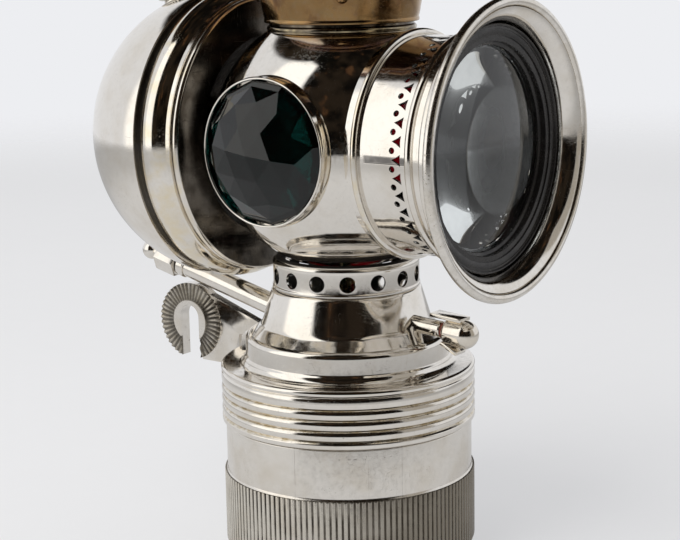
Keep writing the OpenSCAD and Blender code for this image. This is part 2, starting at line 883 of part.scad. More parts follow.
// A stepped ring that holds the lens in the throat
module lens_ring() {
    low = seat_top;
    edge = throat_r - 1;
    outer = [
        [sleeve_in - 0.15, low],
        [sleeve_in - 0.15, throat_reach - 0.2],
        [edge, throat_reach + 0.2],
        [edge, throat_reach + 1.2]
    ];
    inner = [
        [lens_r - 1.4, low],
        [lens_r - 1.4, low + 0.6],
        [lens_r - 0.6, low + 0.8],
        [lens_r - 0.6, throat_reach + 0.3],
        [(lens_r + edge) / 2 - 0.9, throat_reach + 0.4],
        [(lens_r + edge) / 2 - 0.9, throat_reach + 0.75],
        [edge - 1.2, throat_reach + 0.85],
        [edge - 1.2, throat_reach + 1.2]
    ];
    color("dimgray")
        forward()
            translate([0, 0, joint_y])
                rotate_extrude($fn = 96)
                    polygon(wall(outer, inner));
}

// CHIMNEY

module chimney_neck() {
    foot = head_z + sqrt(globe_r * globe_r - neck_r * neck_r) - 1.5;
    wall_t = 0.8;
    color("dimgray")
        difference() {
            union() {
                translate([0, 0, foot])
                    cylinder(r1 = neck_r - 1, r2 = neck_r - 0.3, h = neck_z - foot, $fn = 96);
                translate([0, 0, neck_z - 0.5])
                    rotate_extrude($fn = 96)
                        translate([neck_r - 0.5, 0])
                            circle(r = 0.8, $fn = 24);
                translate([0, 0, neck_z - 0.5])
                    cylinder(r = cowl_foot_r - cowl_wall - 0.3, h = 4, $fn = 96);
            }
            translate([0, 0, foot - 1])
                cylinder(r = neck_r - 1 - wall_t, h = neck_z - foot + 6, $fn = 96);
            translate([0, 0, head_z])
                sphere(r = globe_r, $fn = 96);
        }
}

module chimney_cowl() {
    vent_z = cowl_top - 4.6;
    color("peru")
        difference() {
            translate([0, 0, cowl_z])
                union() {
                    cylinder(r1 = cowl_foot_r, r2 = cowl_top_r, h = cowl_h, $fn = 96);
                    translate([0, 0, cowl_h - 0.8])
                        rotate_extrude($fn = 96)
                            translate([cowl_top_r - 0.1, 0])
                                circle(r = 0.7, $fn = 24);
                }
            translate([0, 0, cowl_z - eps])
                cylinder(
                    r1 = cowl_foot_r - cowl_wall,
                    r2 = cowl_top_r - cowl_wall,
                    h = cowl_h + 2 * eps,
                    $fn = 96);
            translate([0, 0, cowl_top - 1])
                cylinder(r = cowl_top_r - cowl_wall, h = 3, $fn = 96);
            translate([0, 0, vent_z])
                ring_of(vents)
                    translate([cowl_foot_r - 4, 0, 0])
                        rotate([0, 90, 0])
                            cylinder(d = vent_d, h = 8, $fn = 24);
            ring_of(4, 217)
                translate([cowl_foot_r - 4, 0, cowl_z + rivet_up])
                    rotate([0, 90, 0])
                        cylinder(d = rivet_d * 0.45, h = 8, $fn = 24);
        }
}

// The cap is a shallow dome with a rolled edge, held off the cowl by its legs
module chimney_cap() {
    color("peru")
        translate([0, 0, cap_z])
            union() {
                difference() {
                    intersection() {
                        translate([0, 0, cap_h - cap_dome_r])
                            sphere(r = cap_dome_r, $fn = 96);
                        cylinder(r = cap_r, h = cap_h + 1, $fn = 96);
                    }
                    translate([0, 0, cap_h - cap_dome_r])
                        sphere(r = cap_dome_r - cowl_wall, $fn = 96);
                }
                rotate_extrude($fn = 96)
                    translate([cap_r - 0.5, 0.3])
                        circle(r = 0.8, $fn = 24);
                translate([0, 0, cap_h - 0.4])
                    cylinder(r1 = 2.6, r2 = 1.8, h = 1.4, $fn = 32);
            }
}

// Four upright strips between the cowl's inside and the cap
module cap_legs() {
    slope = (cowl_top_r - cowl_foot_r) / cowl_h;
    low_r = cowl_top_r - cowl_wall - 8 * slope - 0.05;
    high_r = low_r + 16 * slope;
    color("peru")
        difference() {
            translate([0, 0, cowl_top - 8])
                intersection() {
                    cylinder(r1 = low_r, r2 = high_r, h = 16, $fn = 96);
                    ring_of(4, 45)
                        translate([low_r - 4, -2, 0])
                            cube([10, 4, 16]);
                }
            translate([0, 0, cowl_top - 8 - eps])
                cylinder(r1 = low_r - 0.9, r2 = high_r - 0.9, h = 16 + 2 * eps, $fn = 96);
            translate([0, 0, cap_z])
                difference() {
                    translate([0, 0, -2])
                        cylinder(r = cap_r + 5, h = 40);
                    translate([0, 0, cap_h - cap_dome_r])
                        sphere(r = cap_dome_r - cowl_wall, $fn = 96);
                }
        }
}

module cowl_rivets() {
    slope = (cowl_top_r - cowl_foot_r) / cowl_h;
    at_r = cowl_foot_r + slope * rivet_up;
    seat = 0.1 + slope * rivet_d / 2;
    color("sandybrown")
        ring_of(4, 217)
            translate([at_r, 0, cowl_z + rivet_up])
                rotate([0, 90, 0])
                    union() {
                        intersection() {
                            translate([0, 0, seat - 0.5])
                                sphere(d = rivet_d, $fn = 32);
                            translate([0, 0, seat])
                                cylinder(d = rivet_d, h = 3, $fn = 32);
                        }
                        translate([0, 0, -cowl_wall - 0.5])
                            cylinder(d = rivet_d * 0.4, h = cowl_wall + 0.6 + seat, $fn = 24);
                    }
}

// WATER TANK

module tank_rear() {
    color("gainsboro")
        difference() {
            translate([0, tank_y, head_z])
                sphere(r = tank_r, $fn = 128);
            translate([0, tank_y, head_z])
                sphere(r = tank_r - tank_wall, $fn = 128);
            translate([-50, tank_y - 50, head_z - 50])
                cube([100, 50 + seam_y - tank_y + 0.8, 100]);
            on_dome()
                cylinder(r = filler_bore + 0.9, h = tank_r + 5);
            outlet_drill(feed_bore);
        }
    color("gainsboro")
        rearward()
            translate([0, 0, seam_y + 0.8])
                tube(seam_r - tank_wall / 2, seam_r - seam_depth, 0.7);
}

// The front half of the tank: a crowned band, a soldered lap, and a wall dished round the globe
module tank_front() {
    band_y = seam_y + 0.8 - tank_band;
    groove_r = seam_r - seam_depth;
    bead = 0.9;
    valley_r = tank_front_r - bead;
    shoulder = groove_r + seam_depth - 1;
    crown = 1;
    band_run = tank_band - 1.7 - 2 * bead;
    outer = concat(
        [[groove_r, seam_y + 2.4], [groove_r, seam_y - 0.5]],
        [for (i = [0:10]) let (t = i / 10)
            [shoulder + (valley_r - shoulder) * t * t + crown * sin(180 * t), seam_y - 0.9 - band_run * t]],
        arc(tank_front_r - bead, band_y + bead, bead, 70, -90, 8));
    color("gainsboro")
        difference() {
            rearward()
                rotate_extrude($fn = 128)
                    polygon(concat(outer, [[0, band_y], [0, seam_y + 2.4]]));
            difference() {
                rearward()
                    rotate_extrude($fn = 128)
                        polygon(concat(
                            [[groove_r - tank_wall, seam_y + 5]],
                            [for (q = outer) [q[0] - tank_wall, max(q[1], band_y + tank_wall)]],
                            [[0, band_y + tank_wall], [0, seam_y + 5]]));
                translate([0, 0, head_z])
                    sphere(r = dish_r + tank_wall, $fn = 96);
            }
            translate([0, 0, head_z])
                sphere(r = dish_r, $fn = 96);
        }
}

module tank_pad() {
    color("silver")
        difference() {
            intersection() {
                rearward()
                    cylinder(r = pad_r, h = dish_r + 2);
                translate([0, 0, head_z])
                    sphere(r = dish_r, $fn = 96);
            }
            translate([0, 0, head_z])
                sphere(r = globe_r, $fn = 96);
        }
}

// A shape on the tank's dome, at the filler, with its height pointing out of the tank
module on_dome() {
    translate([0, tank_y, head_z])
        rotate([-filler_lean, 0, 0])
            children();
}

module filler_neck() {
    color("silver")
        difference() {
            on_dome()
                translate([0, 0, tank_r - 1.6])
                    union() {
                        tube(filler_bore + 0.9, filler_bore, filler_h + 1.6);
                        tube(filler_bore + 1.6, filler_bore, 2.4);
                    }
            intersection() {
                translate([0, tank_y, head_z])
                    sphere(r = tank_r, $fn = 96);
                on_dome()
                    translate([0, 0, tank_r - 3])
                        tube(filler_bore + 4, filler_bore + 0.9, 4);
            }
        }
}

module filler_washer() {
    color("saddlebrown")
        on_dome()
            translate([0, 0, tank_r + filler_h + seat_gap])
                cylinder(r = filler_bore + 0.8, h = 1);
}

module filler_cap() {
    ceiling = filler_h + 1 + 2 * seat_gap;
    low = ceiling + 1 - filler_cap_h;
    color("silver")
        on_dome()
            translate([0, 0, tank_r])
                difference() {
                    union() {
                        translate([0, 0, low])
                            cylinder(r = filler_cap_r, h = filler_cap_h - 0.8);
                        translate([0, 0, low + filler_cap_h - 0.8])
                            cylinder(r1 = filler_cap_r, r2 = filler_cap_r - 1.4, h = 0.8);
                    }
                    translate([0, 0, low - 1])
                        cylinder(r = filler_bore + 0.9 + seat_gap, h = ceiling - low + 1);
                }
}

// WATER FEED

// A shape along the water tube, with its height pointing up the tube to the valve
module along_feed() {
    start = cone_r(feed_z - cone_z) - feed_root;
    translate([0, start, feed_z])
        rotate([-(90 - feed_rise), 0, 0])
            children();
}

// The drilling that joins the tank's floor and the water tube
module outlet_drill(r) {
    translate([0, outlet_y, outlet_z - 4])
        cylinder(r = r, h = 14);
}

module water_tube() {
    color("silver")
        difference() {
            along_feed()
                tube(feed_r, feed_bore, feed_len);
            translate([0, outlet_y, feed_z + 5])
                cylinder(r = feed_bore - 0.4, h = 12);
        }
}

// A short stub that carries the tube under the tank's floor
module tank_outlet() {
    color("silver")
        difference() {
            translate([0, outlet_y, outlet_z])
                cylinder(r = feed_r - 0.4, h = 12);
            outlet_drill(feed_bore - 0.4);
            translate([0, tank_y, head_z])
                sphere(r = tank_r, $fn = 360);
            along_feed()
                cylinder(r = feed_r, h = feed_len, $fn = 128);
        }
}

module valve_body() {
    color("silver")
        along_feed()
            translate([0, 0, feed_len])
                difference() {
                    union() {
                        cylinder(r = valve_r, h = valve_len);
                        translate([0, 0, valve_len])
                            cylinder(r = gland_af / 2 - 1, h = gland_len - 1.6);
                    }
                    translate([0, 0, -1])
                        cylinder(r = spindle_r + run_gap, h = valve_len + gland_len + 2);
                }
}

module gland_nut() {
    color("silver")
        along_feed()
            translate([0, 0, feed_len + valve_len + seat_gap])
                difference() {
                    cylinder(d = gland_af / cos(30), h = gland_len, $fn = 6);
                    translate([0, 0, -1])
                        cylinder(r = gland_af / 2 - 1 + seat_gap / 2, h = gland_len - 0.6);
                    cylinder(r = spindle_r + run_gap, h = gland_len + 1);
                }
}

// A ring in the tube's bore that the needle closes
module valve_seat() {
    color("goldenrod")
        along_feed()
            translate([0, 0, needle_low + 1.1 - seat_len])
                tube(feed_bore, seat_hole, seat_len);
}

// The loose needle that the spindle pushes down the tube's bore, past the tank's drilling
module valve_needle() {
    cone_len = 2.4;
    color("goldenrod")
        along_feed()
            translate([0, 0, needle_low])
                union() {
                    cylinder(r1 = 0.3, r2 = seat_hole + 0.5, h = cone_len);
                    translate([0, 0, cone_len])
                        cylinder(r = needle_r, h = needle_len - cone_len);
                }
}

module valve_spindle() {
    low = needle_low + needle_len + seat_gap;
    color("goldenrod")
        along_feed()
            translate([0, 0, low])
                cylinder(r = spindle_r, h = knob_low - low);
}

module valve_knob() {
    color("gainsboro")
        along_feed()
            translate([0, 0, knob_low])
                difference() {
                    union() {
                        translate([0, 0, -0.8])
                            cylinder(r = spindle_r + 0.7, h = 2);
                        translate([0, 0, thumb_r * 0.9])
                            sphere(r = thumb_r);
                    }
                    translate([0, 0, -1])
                        cylinder(r = spindle_r, h = 1 + eps);
                }
}

// BRACKET

module bracket() {
    foot_low = wall_z + 0.4;
    foot_high = roll_z - 0.2;
    drop_z = boss_z - boss_r;
    web = [
        [shoulder_r + foot_t / 2, foot_low],
        [skirt_out + 3.2, foot_low],
        [skirt_out + 6, drop_z],
        [slot_y, drop_z],
        [slot_y, boss_z + boss_r - 0.2],
        [shoulder_r + foot_t + 0.6, foot_high],
        [shoulder_r + foot_t / 2, foot_high]
    ];
    slot_z = boss_z + slot_up;
    color("lightgray")
        difference() {
            union() {
                translate([-plate_t / 2, 0, 0])
                    rotate([90, 0, 90])
                        linear_extrude(plate_t)
                            polygon(web);
                translate([-plate_t / 2 - boss_out, slot_y, boss_z])
                    rotate([0, 90, 0])
                        cylinder(r = boss_r, h = plate_t + boss_out, $fn = 96);
                intersection() {
                    translate([0, 0, foot_low])
                        tube(shoulder_r + foot_t, shoulder_r, foot_high - foot_low);
                    translate([0, 0, foot_low - 1])
                        linear_extrude(20)
                            polygon([
                                [0, 0],
                                [-60 * sin(foot_angle), 60 * cos(foot_angle)],
                                [60 * sin(foot_angle), 60 * cos(foot_angle)]
                            ]);
                }
            }
            translate([-10, slot_y, slot_z])
                rotate([0, 90, 0])
                    cylinder(d = slot_w, h = 20);
            translate([-10, slot_y - slot_w / 2, slot_z - 20])
                cube([20, slot_w, 20]);
            translate([-plate_t / 2 - boss_out, slot_y, boss_z])
                rotate([0, 90, 0])
                    for (i = [0:teeth - 1])
                        rotate([0, 0, (i + 0.5) * 360 / teeth])
                            translate([slot_w / 2 + land_w, 0, 0])
                                rotate([45, 0, 0])
                                    translate([0, -tooth_depth * 0.71, -tooth_depth * 0.71])
                                        cube([boss_r, tooth_depth * 1.42, tooth_depth * 1.42]);
            cylinder(r = shoulder_r, h = 200);
            rotate([0, 0, 90])
                bracket_rivet_holes(rivet_d * 0.5);
        }
}

// Places of the rivets through the curved foot
module bracket_rivet_holes(d) {
    for (a = [-foot_angle * 0.65, foot_angle * 0.65])
        rotate([0, 0, a])
            translate([0, 0, (wall_z + roll_z) / 2])
                rotate([0, 90, 0])
                    translate([0, 0, shoulder_r])
                        cylinder(d = d, h = 6, $fn = 24);
}

module bracket_rivets() {
    color("silver")
        rotate([0, 0, 90])
            for (a = [-foot_angle * 0.65, foot_angle * 0.65])
                rotate([0, 0, a])
                    translate([shoulder_r + foot_t, 0, (wall_z + roll_z) / 2])
                        rotate([0, 90, 0])
                            union() {
                                intersection() {
                                    sphere(d = rivet_d, $fn = 32);
                                    translate([0, 0, 0.1])
                                        cylinder(d = rivet_d, h = 1, $fn = 32);
                                }
                                translate([0, 0, -foot_t + 0.1])
                                    cylinder(d = rivet_d * 0.45, h = foot_t, $fn = 24);
                            }
}

// RELIEF SCREW

// A shape along the relief nipple, with its height pointing out of the dome
module along_relief() {
    start = cone_r(relief_z - cone_z) - relief_root;
    translate([0, -start, relief_z])
        rotate([90 + relief_droop, 0, 0])
            children();
}

nipple_len = relief_y - cone_r(relief_z - cone_z) + relief_root;

module relief_nipple() {
    color("silver")
        along_relief()
            tube(relief_r, shank_r + run_gap, nipple_len);
}

module relief_washer() {
    color("saddlebrown")
        along_relief()
            translate([0, 0, nipple_len + seat_gap])
                tube(relief_r, shank_r + run_gap, 0.7);
}

module relief_screw() {
    start = nipple_len + 0.7 + 2 * seat_gap;
    color("silver")
        along_relief()
            union() {
                translate([0, 0, start - 7])
                    cylinder(r = shank_r, h = 8);
                translate([0, 0, start])
                    cylinder(r1 = knob_r * 0.8, r2 = knob_r, h = 0.8);
                translate([0, 0, start + 0.8])
                    cylinder(r = knob_r, h = knob_len - 0.8);
                translate([0, 0, start + knob_len])
                    sphere(r = knob_r);
                translate([-ear_w / 2, knob_r - 0.3, start - ear_back])
                    cube([ear_w, ear_t, ear_back + knob_len]);
                translate([0, 0.7 - knob_r, start - 0.4])
                    rotate([22, 0, 0])
                        translate([-ear_w / 2, -ear_t / 2, 0])
                            cube([ear_w, ear_t, knob_len]);
            }
}

carbide_container();
carbide_cup();
bow_spring();
container_gasket();
gas_dome();
gas_filter();
drip_tube();
air_gallery();
head_globe();
green_bezel();
green_jewel();
red_bezel();
red_jewel();
reflector();
burner_pillar();
burner_fork();
burner_tips();
front_band();
hinge_leaf_fixed();
hinge_pin();
front_bell();
hinge_leaf_front();
lens();
lens_ring();
chimney_neck();
chimney_cowl();
chimney_cap();
cowl_rivets();
cap_legs();
tank_rear();
tank_front();
tank_pad();
filler_neck();
filler_washer();
filler_cap();
water_tube();
tank_outlet();
valve_body();
gland_nut();
valve_seat();
valve_needle();
valve_spindle();
valve_knob();
bracket();
bracket_rivets();
relief_nipple();
relief_washer();
relief_screw();
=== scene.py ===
"""Carbide bicycle lamp: the pieces that show, their finishes and the studio."""
import math

import bmesh
import bpy
import numpy as np
from mathutils import Matrix, Vector


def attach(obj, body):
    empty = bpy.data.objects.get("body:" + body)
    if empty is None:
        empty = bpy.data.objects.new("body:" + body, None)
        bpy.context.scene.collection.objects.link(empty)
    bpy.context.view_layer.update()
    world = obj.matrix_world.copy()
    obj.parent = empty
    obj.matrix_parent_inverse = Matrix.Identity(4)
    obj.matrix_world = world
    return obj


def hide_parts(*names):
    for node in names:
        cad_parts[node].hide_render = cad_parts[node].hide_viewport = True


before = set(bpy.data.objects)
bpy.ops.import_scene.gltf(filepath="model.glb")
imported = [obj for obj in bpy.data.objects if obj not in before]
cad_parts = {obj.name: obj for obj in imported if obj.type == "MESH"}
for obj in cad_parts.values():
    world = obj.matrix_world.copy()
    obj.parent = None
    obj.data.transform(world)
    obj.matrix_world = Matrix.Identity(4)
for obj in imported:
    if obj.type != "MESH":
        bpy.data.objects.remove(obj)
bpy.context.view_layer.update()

bl_info = {
    "name": "Carbide bicycle lamp",
    "version": (1, 0, 0),
    "blender": (4, 5, 0),
    "location": "View3D > Sidebar > Lamp",
    "description": "Builds a nickel-plated carbide bicycle lamp, piece by piece",
    "category": "Add Mesh",
}

MM = 0.001

# Sizes in millimetres and turns in degrees, as in the part's source
CAN_R, GRIP_R, GRIP_H, CAN_WALL, CAN_CORNER = 31.0, 31.75, 24.2, 0.8, 5.0
NECK_R, CAN_TOP = 30.1, 47.6
SKIRT_IN, SKIRT_OUT, SKIRT_Z, RIBS_Z, RIB_PITCH = 30.35, 31.3, 36.5, 38.4, 2.6
BELT_Z, LIP_Z, COVE_Z, WALL_Z, ROLL_Z, CONE_Z = 46.2, 49.3, 51.0, 52.5, 56.9, 58.4
CEILING_Z, DOME_WALL, SHOULDER_R, ROLL_R, WAIST_R = 50.1, 0.9, 25.6, 1.5, 21.3
WAIST_UP, CONE_UP = 2.6, 9.3
GALLERY_Z, GALLERY_R, GALLERY_H, GALLERY_WALL = 70.3, 18.3, 7.6, 0.8
AIR_R, AIR_UP, AIR_TURN = 2.0, 3.2, 1.4
HEAD_Z, GLOBE_R, GLOBE_WALL, CROWN_R = 106.4, 32.3, 0.7, 17.0
JEWEL_R, JEWEL_Y, BEZEL_X, BEZEL_WALL = 17.0, 1.0, 31.0, 0.8
BAND_R, BAND_WALL, BEAD_Y, BEAD_WIRE, JOINT_Y = 26.0, 0.7, 22.4, 0.9, 36.1
DOT_BACK, TRI_BACK, TRI_SIDE, SPIGOT_R, BAND_STEPS = 3.8, 2.3, 2.6, 24.85, 390
SLEEVE_IN, SLEEVE_OUT, BELL_BEAD = 25.8, 26.6, 1.1
BELL_R, RIM_WIRE, BELL_REACH, THROAT_R, THROAT_REACH, BELL_WALL = 34.4, 1.2, 11.3, 29.9, 6.1, 0.8
LENS_R, LENS_EDGE, LENS_FRONT, LENS_BACK, BULGE_R, LENS_LOW, SEAT_TOP = 25.4, 2.2, 3.0, 6.0, 23.0, 1.75, 4.2
NECK_Z, CHIMNEY_R, COWL_Z, COWL_TOP = 134.2, 17.9, 135.1, 152.1
COWL_FOOT_R, COWL_TOP_R, COWL_WALL, CAP_R, CAP_Z, CAP_H = 18.6, 21.6, 0.7, 24.0, 153.7, 8.0
VENT_R, VENT_DOWN, RIVET_UP, RIVET_R, RIVETS, RIVET_TURN = 1.7, 4.6, 6.3, 0.6, 4, 217
TANK_R, TANK_Y, TANK_WALL, SEAM_Y, SEAM_DEPTH = 37.3, 33.4, 0.7, 34.7, 1.6
TANK_BAND, TANK_FRONT_R, DISH_R, TANK_BEAD, CROWNING = 11.5, 34.6, 34.5, 0.9, 1.0
FILLER_BORE, FILLER_H, FILLER_CAP_R, FILLER_CAP_H = 4.0, 6.5, 6.4, 6.0
FEED_R, FEED_BORE, FEED_LEN, VALVE_LEN, VALVE_R = 2.9, 1.7, 33.9, 3.0, 3.3
GLAND_AF, GLAND_LEN, SPINDLE_R, SPINDLE_SHOW, THUMB_R = 7.4, 6.6, 1.1, 1.6, 2.7
RELIEF_BORE, RELIEF_R, RELIEF_LEN = 1.05, 2.05, 9.382
SEAM_EDGE = SEAM_Y + 0.8
SEAM_R = math.sqrt(TANK_R ** 2 - (SEAM_EDGE - TANK_Y) ** 2)
GROOVE_R = SEAM_R - SEAM_DEPTH
HEAD, TANK, BOSS = (0, 0, HEAD_Z), (0, TANK_Y, HEAD_Z), (0, 50.9, 54.6)
FEED_FOOT, RELIEF_FOOT = (0, 19.223, 60.7), (0, -19.218, 62.6)


def leaning(place, degrees):
    """Where a shape goes that is turned about its own Z and leans about X."""
    return Matrix.Translation(place) @ Matrix.Rotation(math.radians(degrees), 4, "X")


def sideward(side):
    """The place of a shape on a side of the head: side is -1 or 1."""
    return Matrix.Translation((0, JEWEL_Y, HEAD_Z)) @ Matrix.Rotation(math.radians(90 * side), 4, "Y")


UPRIGHT = Matrix.Identity(4)
TO_METRES = Matrix.Scale(MM, 4)
FORWARD, REARWARD = leaning(HEAD, 90), leaning(HEAD, -90)
FEED, FILLER, RELIEF = leaning(FEED_FOOT, -75.8), leaning(TANK, -28), leaning(RELIEF_FOOT, 94)


# Outlines

def arc(x, y, r, a, b, steps=8, squash=1.0):
    """Points along an arc from angle a to angle b, in degrees."""
    turns = [math.radians(a + (b - a) * i / steps) for i in range(steps + 1)]
    return [(x + r * math.cos(t), y + r * squash * math.sin(t)) for t in turns]


def about(x, y, *steps):
    """Points at steps from a place."""
    return [(x + a, y + b) for a, b in steps]


def soften(points, radius, steps=3):
    """The outline with each inner corner rounded."""
    out = [points[0]]
    for before, here, after in zip(points, points[1:], points[2:]):
        p, q, s = Vector(before), Vector(here), Vector(after)
        a, b = p - q, s - q
        if a.length < 1e-6 or b.length < 1e-6 or a.angle(-b, 0) < 0.12:
            out.append(here)
            continue
        d = min(radius, a.length * 0.45, b.length * 0.45)
        start, end = q + a.normalized() * d, q + b.normalized() * d
        for i in range(steps + 1):
            t = i / steps
            m = start * (1 - t) ** 2 + q * 2 * t * (1 - t) + end * t * t
            out.append((m.x, m.y))
    out.append(points[-1])
    return out


# Meshes

def new_object(name, mesh):
    """Link a mesh as an object at the origin."""
    obj = bpy.data.objects.new(name, mesh)
    bpy.context.scene.collection.objects.link(obj)
    return obj


def take_mesh(bm, name):
    """The mesh of a finished bmesh."""
    mesh = bpy.data.meshes.new(name)
    bm.to_mesh(mesh)
    bm.free()
    return mesh


def shade(mesh, angle=38):
    """Smooth shading that keeps edges over an angle sharp."""
    mesh.polygons.foreach_set("use_smooth", [True] * len(mesh.polygons))
    mesh.set_sharp_from_angle(angle=math.radians(angle))


def lathe(name, outline, steps=200, place=UPRIGHT, angle=38):
    """A solid turned from a closed outline of radius and height."""
    area = sum(a[0] * b[1] - b[0] * a[1] for a, b in zip(outline, outline[1:] + outline[:1]))
    if area < 0:
        outline = outline[::-1]
    turn = np.arange(steps) * 2 * math.pi / steps
    verts, rows = [], []
    for r, h in outline:
        if abs(r) < 1e-6:
            rows.append([len(verts)])
            verts.append((0.0, 0.0, h))
        else:
            rows.append(list(range(len(verts), len(verts) + steps)))
            verts.extend(zip(r * np.cos(turn), r * np.sin(turn), [h] * steps))
    faces = []
    for a, b in zip(rows, rows[1:] + rows[:1]):
        if len(a) == 1 and len(b) == 1:
            continue
        for i in range(steps):
            j = (i + 1) % steps
            if len(a) == 1:
                faces.append((a[0], b[j], b[i]))
            elif len(b) == 1:
                faces.append((a[i], a[j], b[0]))
            else:
                faces.append((a[i], a[j], b[j], b[i]))
    mesh = bpy.data.meshes.new(name)
    mesh.from_pydata([tuple(v) for v in verts], [], faces)
    shade(mesh, angle)
    mesh.transform(TO_METRES @ place)
    return new_object(name, mesh)


def smooth_copy(node, name, bevel=0.0, angle=30):
    """A merged, smooth copy of a node's mesh, with its edges broken where bevel is given."""
    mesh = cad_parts[node].data.copy()
    mesh.materials.clear()
    bm = bmesh.new()
    bm.from_mesh(mesh)
    bmesh.ops.remove_doubles(bm, verts=bm.verts, dist=2e-6)
    if bevel:
        bmesh.ops.dissolve_limit(bm, angle_limit=math.radians(1), verts=bm.verts, edges=bm.edges)
        edges = [e for e in bm.edges if len(e.link_faces) == 2 and e.calc_face_angle(0) > math.radians(angle)]
        bmesh.ops.bevel(bm, geom=edges, offset=bevel * MM, segments=2, affect="EDGES", profile=0.5,
                        clamp_overlap=True)
    bm.to_mesh(mesh)
    bm.free()
    if "sharp_face" in mesh.attributes:
        mesh.attributes.remove(mesh.attributes["sharp_face"])
    shade(mesh, angle)
    return new_object(name, mesh)


def join(name, objects):
    """One object from several, each with its own material."""
    bm = bmesh.new()
    slots = []
    for obj in objects:
        base, start = len(slots), len(bm.faces)
        slots.extend(obj.data.materials)
        bm.from_mesh(obj.data)
        bm.faces.ensure_lookup_table()
        for f in bm.faces[start:]:
            f.material_index += base
        bpy.data.objects.remove(obj)
    mesh = take_mesh(bm, name)
    for m in slots:
        mesh.materials.append(m)
    return new_object(name, mesh)


def round_normals(obj, centre):
    """Exact normals on the two walls of a shell that is part of a sphere."""
    mesh = obj.data
    co = np.empty(len(mesh.vertices) * 3)
    mesh.vertices.foreach_get("co", co)
    away = co.reshape(-1, 3) - np.array(centre, float) * MM
    away /= np.linalg.norm(away, axis=1)[:, None]
    index = np.empty(len(mesh.loops), int)
    mesh.loops.foreach_get("vertex_index", index)
    current = np.empty(len(mesh.loops) * 3)
    mesh.corner_normals.foreach_get("vector", current)
    current = current.reshape(-1, 3)
    wanted = away[index]
    along = np.sum(current * wanted, axis=1)
    result = np.where((np.abs(along) > 0.9)[:, None], wanted * np.sign(along)[:, None], current)
    mesh.normals_split_custom_set([tuple(n) for n in result])


# Trees of nodes

TREES = {}
VECTOR, COLOUR, FLOAT = "NodeSocketVector", "NodeSocketColor", "NodeSocketFloat"


class Pen:
    """Writes nodes into a tree. An input that is given a socket is linked, any other value is set."""

    def __init__(self, tree):
        self.tree = tree

    def fill(self, node, values):
        """Link or set inputs of a node."""
        for key, value in values.items():
            if isinstance(value, bpy.types.NodeSocket):
                self.tree.links.new(value, node.inputs[key])
            else:
                node.inputs[key].default_value = value
        return node

    def put(self, kind, values=None, **props):
        """Add a node with its inputs and properties."""
        node = self.tree.nodes.new(kind)
        for key, value in props.items():
            setattr(node, key, value)
        return self.fill(node, values or {})

    def group(self, key, **values):
        """Place a shared group."""
        return self.put("ShaderNodeGroup", values, node_tree=TREES[key])

    def calc(self, operation, a, b=0.0, c=0.0, clamp=False):
        """A Math node's output."""
        return self.put("ShaderNodeMath", {0: a, 1: b, 2: c}, operation=operation, use_clamp=clamp).outputs[0]

    def times(self, a, b):
        return self.calc("MULTIPLY", a, b)

    def plus(self, a, b, clamp=False):
        return self.calc("ADD", a, b, clamp=clamp)

    def less(self, a, b):
        return self.calc("SUBTRACT", a, b)

    def most(self, a, b):
        return self.calc("MAXIMUM", a, b)

    def gap(self, a, b):
        """How far two values lie apart."""
        return self.calc("ABSOLUTE", self.less(a, b))

    def add_part(self, a, share, base):
        """A base value and a share of another."""
        return self.calc("MULTIPLY_ADD", a, share, base)

    def vector(self, operation, a, b=None, out=0):
        """A Vector Math node's output."""
        values = {0: a} if b is None else {0: a, 1: b}
        return self.put("ShaderNodeVectorMath", values, operation=operation).outputs[out]

    def dot(self, a, b):
        """The part of a vector along a direction."""
        return self.vector("DOT_PRODUCT", a, b, "Value")

    def length(self, a):
        """The length of a vector."""
        return self.vector("LENGTH", a, out="Value")

    def scaled(self, a, factor):
        """A vector times a number."""
        return self.put("ShaderNodeVectorMath", {0: a, "Scale": factor}, operation="SCALE").outputs[0]

    def split(self, vector):
        """The X, Y and Z of a vector."""
        parts = self.put("ShaderNodeSeparateXYZ", {0: vector}).outputs
        return parts["X"], parts["Y"], parts["Z"]

    def ramp(self, value, low, high, to_low=0.0, to_high=1.0, smooth=True):
        """A Map Range node's output."""
        values = {"Value": value, "From Min": low, "From Max": high, "To Min": to_low, "To Max": to_high}
        kind = "SMOOTHSTEP" if smooth else "LINEAR"
        return self.put("ShaderNodeMapRange", values, interpolation_type=kind).outputs["Result"]

    def fade(self, value, low, high):
        """One up to the low value, none from the high one on."""
        return self.ramp(value, low, high, 1.0, 0.0)

    def tone(self, factor, a, b):
        """A colour Mix node's output."""
        node = self.put("ShaderNodeMix", data_type="RGBA")
        for key, value in (("Factor", factor), ("A", a), ("B", b)):
            socket = next(s for s in node.inputs if s.name == key and s.enabled)
            if isinstance(value, bpy.types.NodeSocket):
                self.tree.links.new(value, socket)
            else:
                socket.default_value = value if key == "Factor" else (*value[:3], 1)
        return next(s for s in node.outputs if s.enabled)

    def stain(self, colour, mask, strength, other):
        """Another colour over a colour, by a mask and a strength."""
        return self.tone(self.times(mask, strength), colour, other)

    def noise(self, vector, scale, detail=2.0, rough=0.5, twist=0.0):
        """A Noise Texture's value."""
        values = {"Vector": vector, "Scale": scale, "Detail": detail, "Roughness": rough, "Distortion": twist}
        return self.put("ShaderNodeTexNoise", values).outputs[0]

    def patches(self, vector, scale, detail, low, high, rough=0.5, least=0.0, most=1.0):
        """A Noise Texture with its middle spread out."""
        return self.ramp(self.noise(vector, scale, detail, rough), low, high, least, most)

    def stretched(self, vector, scale, turn=(0, 0, 0)):
        """Coordinates turned and stretched."""
        return self.put("ShaderNodeMapping", {"Vector": vector, "Scale": scale, "Rotation": turn}).outputs[0]


